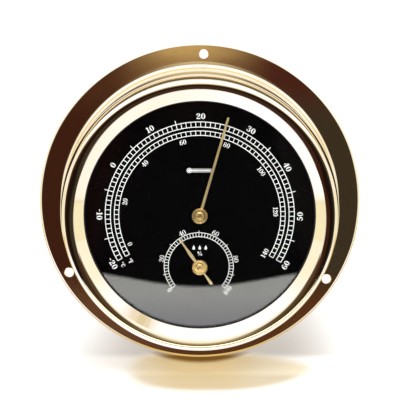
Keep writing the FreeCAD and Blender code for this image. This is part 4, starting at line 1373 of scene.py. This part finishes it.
@dataclass(frozen=True)
class Table:
    """The table top in mirrors: a bright sheet near by, bright sides and a dim room ahead.

    Colours, and places and ranges of the table in metres; those called slopes are across or
    aside divided by ahead, and those called facing are of a layer weight.
    """

    nearest: float = 0.001
    bend_width: float = 0.045
    grazing_facing: Pair = (0.66, 0.7)
    side_slopes: Pair = (0.5, 0.8)
    side_aside: Pair = (0.1, 0.16)
    beside_slopes: Pair = (0.9, 1.3)
    beside: tuple[Colour, Colour] = ((1.12, 1.15, 1.5), (1.03, 1.04, 1.1))
    column_slope: float = -0.009
    column_slopes: Pair = (0.0, 0.085)
    column_ahead: Pair = (0.55, 0.9)
    column: tuple[Colour, Colour] = ((0.31, 0.19, 0.12), (0.62, 0.45, 0.26))
    column_change: Pair = (0.98, 1.035)
    far_left: tuple[Colour, Colour] = ((0.05, 0.016, 0.012), (0.08, 0.03, 0.02))
    far_right: tuple[Colour, Colour] = ((0.046, 0.036, 0.03), (0.07, 0.02, 0.018))
    far_ahead: Pair = (0.6, 0.85)
    far_across: Pair = (-0.04, 0.04)
    under: tuple[Colour, Colour] = ((1.3, 1.36, 2.2), (1.17, 1.22, 1.75))
    under_across: Pair = (-0.018, 0.018)
    under_side: Colour = (1.02, 1.03, 1.05)
    under_aside: Pair = (0.09, 0.2)
    under_gold: Colour = (0.8, 0.62, 0.36)
    gold_ahead: Pair = (0.01, 0.024)
    near_aside: Pair = (0.08, 0.12)
    near_widening: float = -0.1
    near_bend: float = 0.055
    near_ahead: Pair = (0.178, 0.202)
    sheet_width: float = 0.028
    sheet_start: Pair = (0.03, 0.088)
    sheet_end: Pair = (0.04, 0.168)
    sheet_start_edge: Pair = (-0.006, 0.01)
    sheet_end_edge: Pair = (-0.003, 0.006)
    sheet_aside: Pair = (0.05, 0.056)
    sheet: tuple[Colour, Colour] = ((2.72, 2.7, 2.8), (3.7, 3.65, 3.5))
    sheet_change: Pair = (0.1, 0.165)
    foot: tuple[Colour, Colour] = ((0.13, 0.062, 0.045), (0.097, 0.039, 0.02))
    foot_across: Pair = (-0.03, -0.005)
    foot_ahead: Pair = (0.08, 0.16)
    foot_aside: Pair = (0.07, 0.09)
    over_glass: Colour = (0.004, 0.004, 0.005)
    glass_aside: Pair = (0.046, 0.056)
    glass_ahead: Pair = (0.76, 0.86)
    glass_share: float = 0.85
    skimming: Colour = (0.27, 0.23, 0.18)
    skimming_facing: Pair = (0.86, 0.9)
    skimming_near: Pair = (0.09, 0.12)
    skimming_far: Pair = (0.3, 0.4)
    skimming_aside: Pair = (0.04, 0.055)

    def _room(self, graph: Graph, across: Value, ahead: Value) -> NodeSocket:
        """The dim room with a lighter column in its middle, between bright sides."""
        aside, reach = abs(across), ahead.math("MAXIMUM", self.nearest)
        far = ahead.rise(*self.far_ahead)
        dim = graph.mix(across.rise(*self.far_across), graph.mix(far, *self.far_left),
                        graph.mix(far, *self.far_right))
        column = (abs(across / reach - self.column_slope).fall(*self.column_slopes)
                  * ahead.rise(*self.column_ahead))
        room = graph.mix(column, dim, graph.mix(ahead.rise(*self.column_change), *self.column))
        slope = aside / reach
        sides = slope.rise(*self.side_slopes) * aside.rise(*self.side_aside)
        return graph.mix(sides, room, graph.mix(slope.rise(*self.beside_slopes), *self.beside))

    def _under(self, graph: Graph, across: Value, ahead: Value) -> NodeSocket:
        """The bright table close under the instrument, gold where it is closest."""
        under = graph.mix(across.rise(*self.under_across), *self.under)
        under = graph.mix(abs(across).rise(*self.under_aside), under, self.under_side)
        return graph.mix(ahead.rise(*self.gold_ahead), self.under_gold, under)

    def _on_sheet(self, across: Value, ahead: Value, bend: Value) -> Value:
        """A mask of the bright sheet, which bends round the case."""
        (bow, start), (curl, end) = self.sheet_start, self.sheet_end
        after_start = ahead - ((across / self.sheet_width) ** 2.0 * bow + start)
        before_end = ahead - (bend * curl + end)
        return (after_start.rise(*self.sheet_start_edge) * before_end.fall(*self.sheet_end_edge)
                * abs(across).fall(*self.sheet_aside))

    def colour(self, graph: Graph, across: Value, ahead: Value) -> NodeSocket:
        """The colour at a place of the table."""
        aside = abs(across)
        weight = graph.add("ShaderNodeLayerWeight", {"Blend": 0.5})
        shallow = Value(graph, weight.outputs["Facing"])
        bend = ((across / self.bend_width) ** 2.0 * -1.0).math("EXPONENT") * -1.0 + 1.0
        room = self._room(graph, across, ahead)
        near = bend * self.near_bend + aside.rise(*self.near_aside) * self.near_widening + ahead
        steep = graph.mix(near.fall(*self.near_ahead), room, self._under(graph, across, ahead))
        over_glass = (aside.fall(*self.glass_aside)
                      * ahead.span(*self.glass_ahead, self.glass_share, 0.0))
        low = graph.mix(over_glass, room, self.over_glass)
        by_foot = ahead.fall(*self.foot_ahead) * aside.fall(*self.foot_aside)
        low = graph.mix(by_foot, low, graph.mix(across.rise(*self.foot_across), *self.foot))
        low = graph.mix(self._on_sheet(across, ahead, bend), low,
                        graph.mix(ahead.rise(*self.sheet_change), *self.sheet))
        skimming = (shallow.rise(*self.skimming_facing) * ahead.fall(*self.skimming_far)
                    * ahead.rise(*self.skimming_near) * aside.fall(*self.skimming_aside))
        low = graph.mix(skimming, low, self.skimming)
        return graph.mix(shallow.rise(*self.grazing_facing), steep, low)


@dataclass(frozen=True)
class Sky:
    """What mirrors see above the table: bright overhead and aside, dim low at the front.

    Colours, and ranges in degrees aside of the front and above the table.
    """

    front_aside: Pair = (32.0, 52.0)
    front_up: Pair = (7.0, 15.0)
    dim: Colour = (0.09, 0.065, 0.045)
    column_aside: Pair = (2.0, 12.0)
    column_up: Pair = (1.0, 14.0)
    column: tuple[Colour, Colour] = ((0.28, 0.23, 0.18), (1.1, 1.08, 1.25))
    high_up: Pair = (14.0, 34.0)
    high: tuple[Colour, Colour] = ((1.12, 1.14, 1.4), (1.3, 1.36, 2.2))
    patch_middle: float = 46.0
    patch_size: float = 15.0
    patch_edge: Pair = (0.3, 1.0)
    patch: Colour = (0.83, 0.78, 0.76)
    streak_scale: float = 9.0
    streaks: tuple[float, float, float, float] = (0.35, 0.6, 0.4, 1.0)

    def colour(self, graph: Graph) -> NodeSocket:
        """The colour in the direction that a mirror looks in."""
        across, back, up = graph.place_parts()
        turn = across.math("ARCTAN2", back * -1.0).math("DEGREES")
        rise = up.math("ARCSINE").math("DEGREES")
        aside = abs(turn)
        column = graph.mix(rise.rise(*self.column_up), *self.column)
        low = graph.mix(aside.fall(*self.column_aside), self.dim, column)
        high = graph.mix(rise.rise(*self.high_up), *self.high)
        gap = ((turn - self.patch_middle) / self.patch_size).distance(
            (rise - self.patch_middle) / self.patch_size)
        streaks = graph.noise(self.streak_scale).span(*self.streaks)
        high = graph.mix(gap.fall(*self.patch_edge) * streaks, high, self.patch)
        return graph.mix(aside.fall(*self.front_aside) * rise.fall(*self.front_up), high, low)


@dataclass
class Stage:
    """The floor, the surroundings, the lamps and the camera."""

    floor_up: float = -62.5
    floor_half: float = 6000.0
    floor_lift: float = 0.3
    daylight: Colour = (1.0, 0.99, 0.97)
    daylight_strength: float = 0.85
    camera_place: tuple[float, float, float] = (0.0, 738.7, 145.7)
    camera_target: tuple[float, float, float] = (0.1, 3.0, 1.07)
    lens: float = 173.0

    def build_floor(self) -> Object:
        """The pale floor, white to the camera but for a painted pool and shadows, whose look in metal follows the
        real studio's.
        """
        work = bmesh.new()
        bmesh.ops.create_grid(work, x_segments=8, y_segments=8, size=self.floor_half * MM)
        bmesh.ops.translate(work, verts=work.verts[:], vec=spot(0.0, 0.0, self.floor_up))
        floor = finish_mesh(work, "floor", self._floor_material(), False)
        return floor

    def _floor_material(self) -> Material:
        """Pale, with a painted pool of warm light by the flange and painted shadows; mirrors see it as the
        studio's table top.
        """
        material, graph = new_material("studio_floor")
        across, back, _ = graph.place_parts()
        ahead = back * -1.0
        # the floor's colour carries its painted pool of light and painted shadows
        own = Ground().colour(graph, across, ahead)
        seen = graph.add("ShaderNodeBsdfDiffuse", {"Color": own})
        lift = graph.add("ShaderNodeEmission", {"Color": own, "Strength": self.floor_lift})
        plain = graph.add("ShaderNodeAddShader", {0: seen, 1: lift})
        shown = graph.add("ShaderNodeEmission", {
            "Color": Table().colour(graph, across, ahead), "Strength": 1.0})
        path = graph.add("ShaderNodeLightPath").outputs
        graph.add("ShaderNodeOutputMaterial",
                  {"Surface": graph.blend(path["Is Glossy Ray"], plain, shown)})
        return material

    def build_world(self) -> None:
        """Even pale surroundings; in mirrors a bright sky over a dim strip at the front."""
        world = bpy.data.worlds.new("studio")
        bpy.context.scene.world = world
        world.use_nodes = True
        graph = Graph(world.node_tree)
        path = graph.add("ShaderNodeLightPath").outputs
        plain, white, mirror = (
            graph.add("ShaderNodeBackground", {"Color": colour, "Strength": strength})
            for colour, strength in ((self.daylight, self.daylight_strength),
                                     ((1.0, 1.0, 1.0), 1.0), (Sky().colour(graph), 1.0)))
        seen = Value(graph, path["Is Camera Ray"]).math("MAXIMUM", path["Is Transmission Ray"])
        unmirrored = graph.blend(seen, plain, white)
        graph.add("ShaderNodeOutputWorld",
                  {"Surface": graph.blend(path["Is Glossy Ray"], unmirrored, mirror)})

    def build_lamp(self, name: str, place: Vector, size: float, power: float) -> Object:
        """A soft square lamp that points at the instrument and isn't mirrored in it."""
        lamp = bpy.data.lights.new(name, "AREA")
        lamp.size = size
        lamp.energy = power
        thing = bpy.data.objects.new(name, lamp)
        thing.location = place
        thing.rotation_euler = (-place).to_track_quat("-Z", "Y").to_euler()
        thing.visible_glossy = False
        bpy.context.scene.collection.objects.link(thing)
        return thing

    def build_camera(self) -> Object:
        """The camera at the photographed angle."""
        data = bpy.data.cameras.new("camera")
        data.lens = self.lens
        data.clip_end = 50.0
        camera = bpy.data.objects.new("camera", data)
        camera.location = spot(*self.camera_place)
        look = spot(*self.camera_target) - camera.location
        camera.rotation_euler = look.to_track_quat("-Z", "Y").to_euler()
        bpy.context.scene.collection.objects.link(camera)
        bpy.context.scene.camera = camera
        return camera

    def build(self) -> None:
        """Sets the whole stage."""
        self.build_floor()
        self.build_world()
        self.build_lamp("top_lamp", Vector((0.1, -0.35, 0.9)), 0.8, 6.0)
        self.build_lamp("front_lamp", Vector((-0.1, -1.2, 0.4)), 0.7, 5.0)
        self.build_camera()
        bpy.context.scene.view_settings.view_transform = "Standard"


def main() -> None:
    """Builds the sub-assemblies in order and reports each piece."""
    logging.basicConfig(level=logging.INFO, format="%(name)s: %(message)s")
    thermo, hygro = Axis.of_joint("thermo_hand_turn"), Axis.of_joint("hygro_hand_turn")
    finishes = Finishes(thermo)
    finishes.dress_nodes()
    CaseShell(finishes).build()
    DialPrint(finishes, thermo, hygro).build()
    Hands(finishes, thermo, hygro).build()
    Stage().build()


if __name__ == "__main__":
    main()
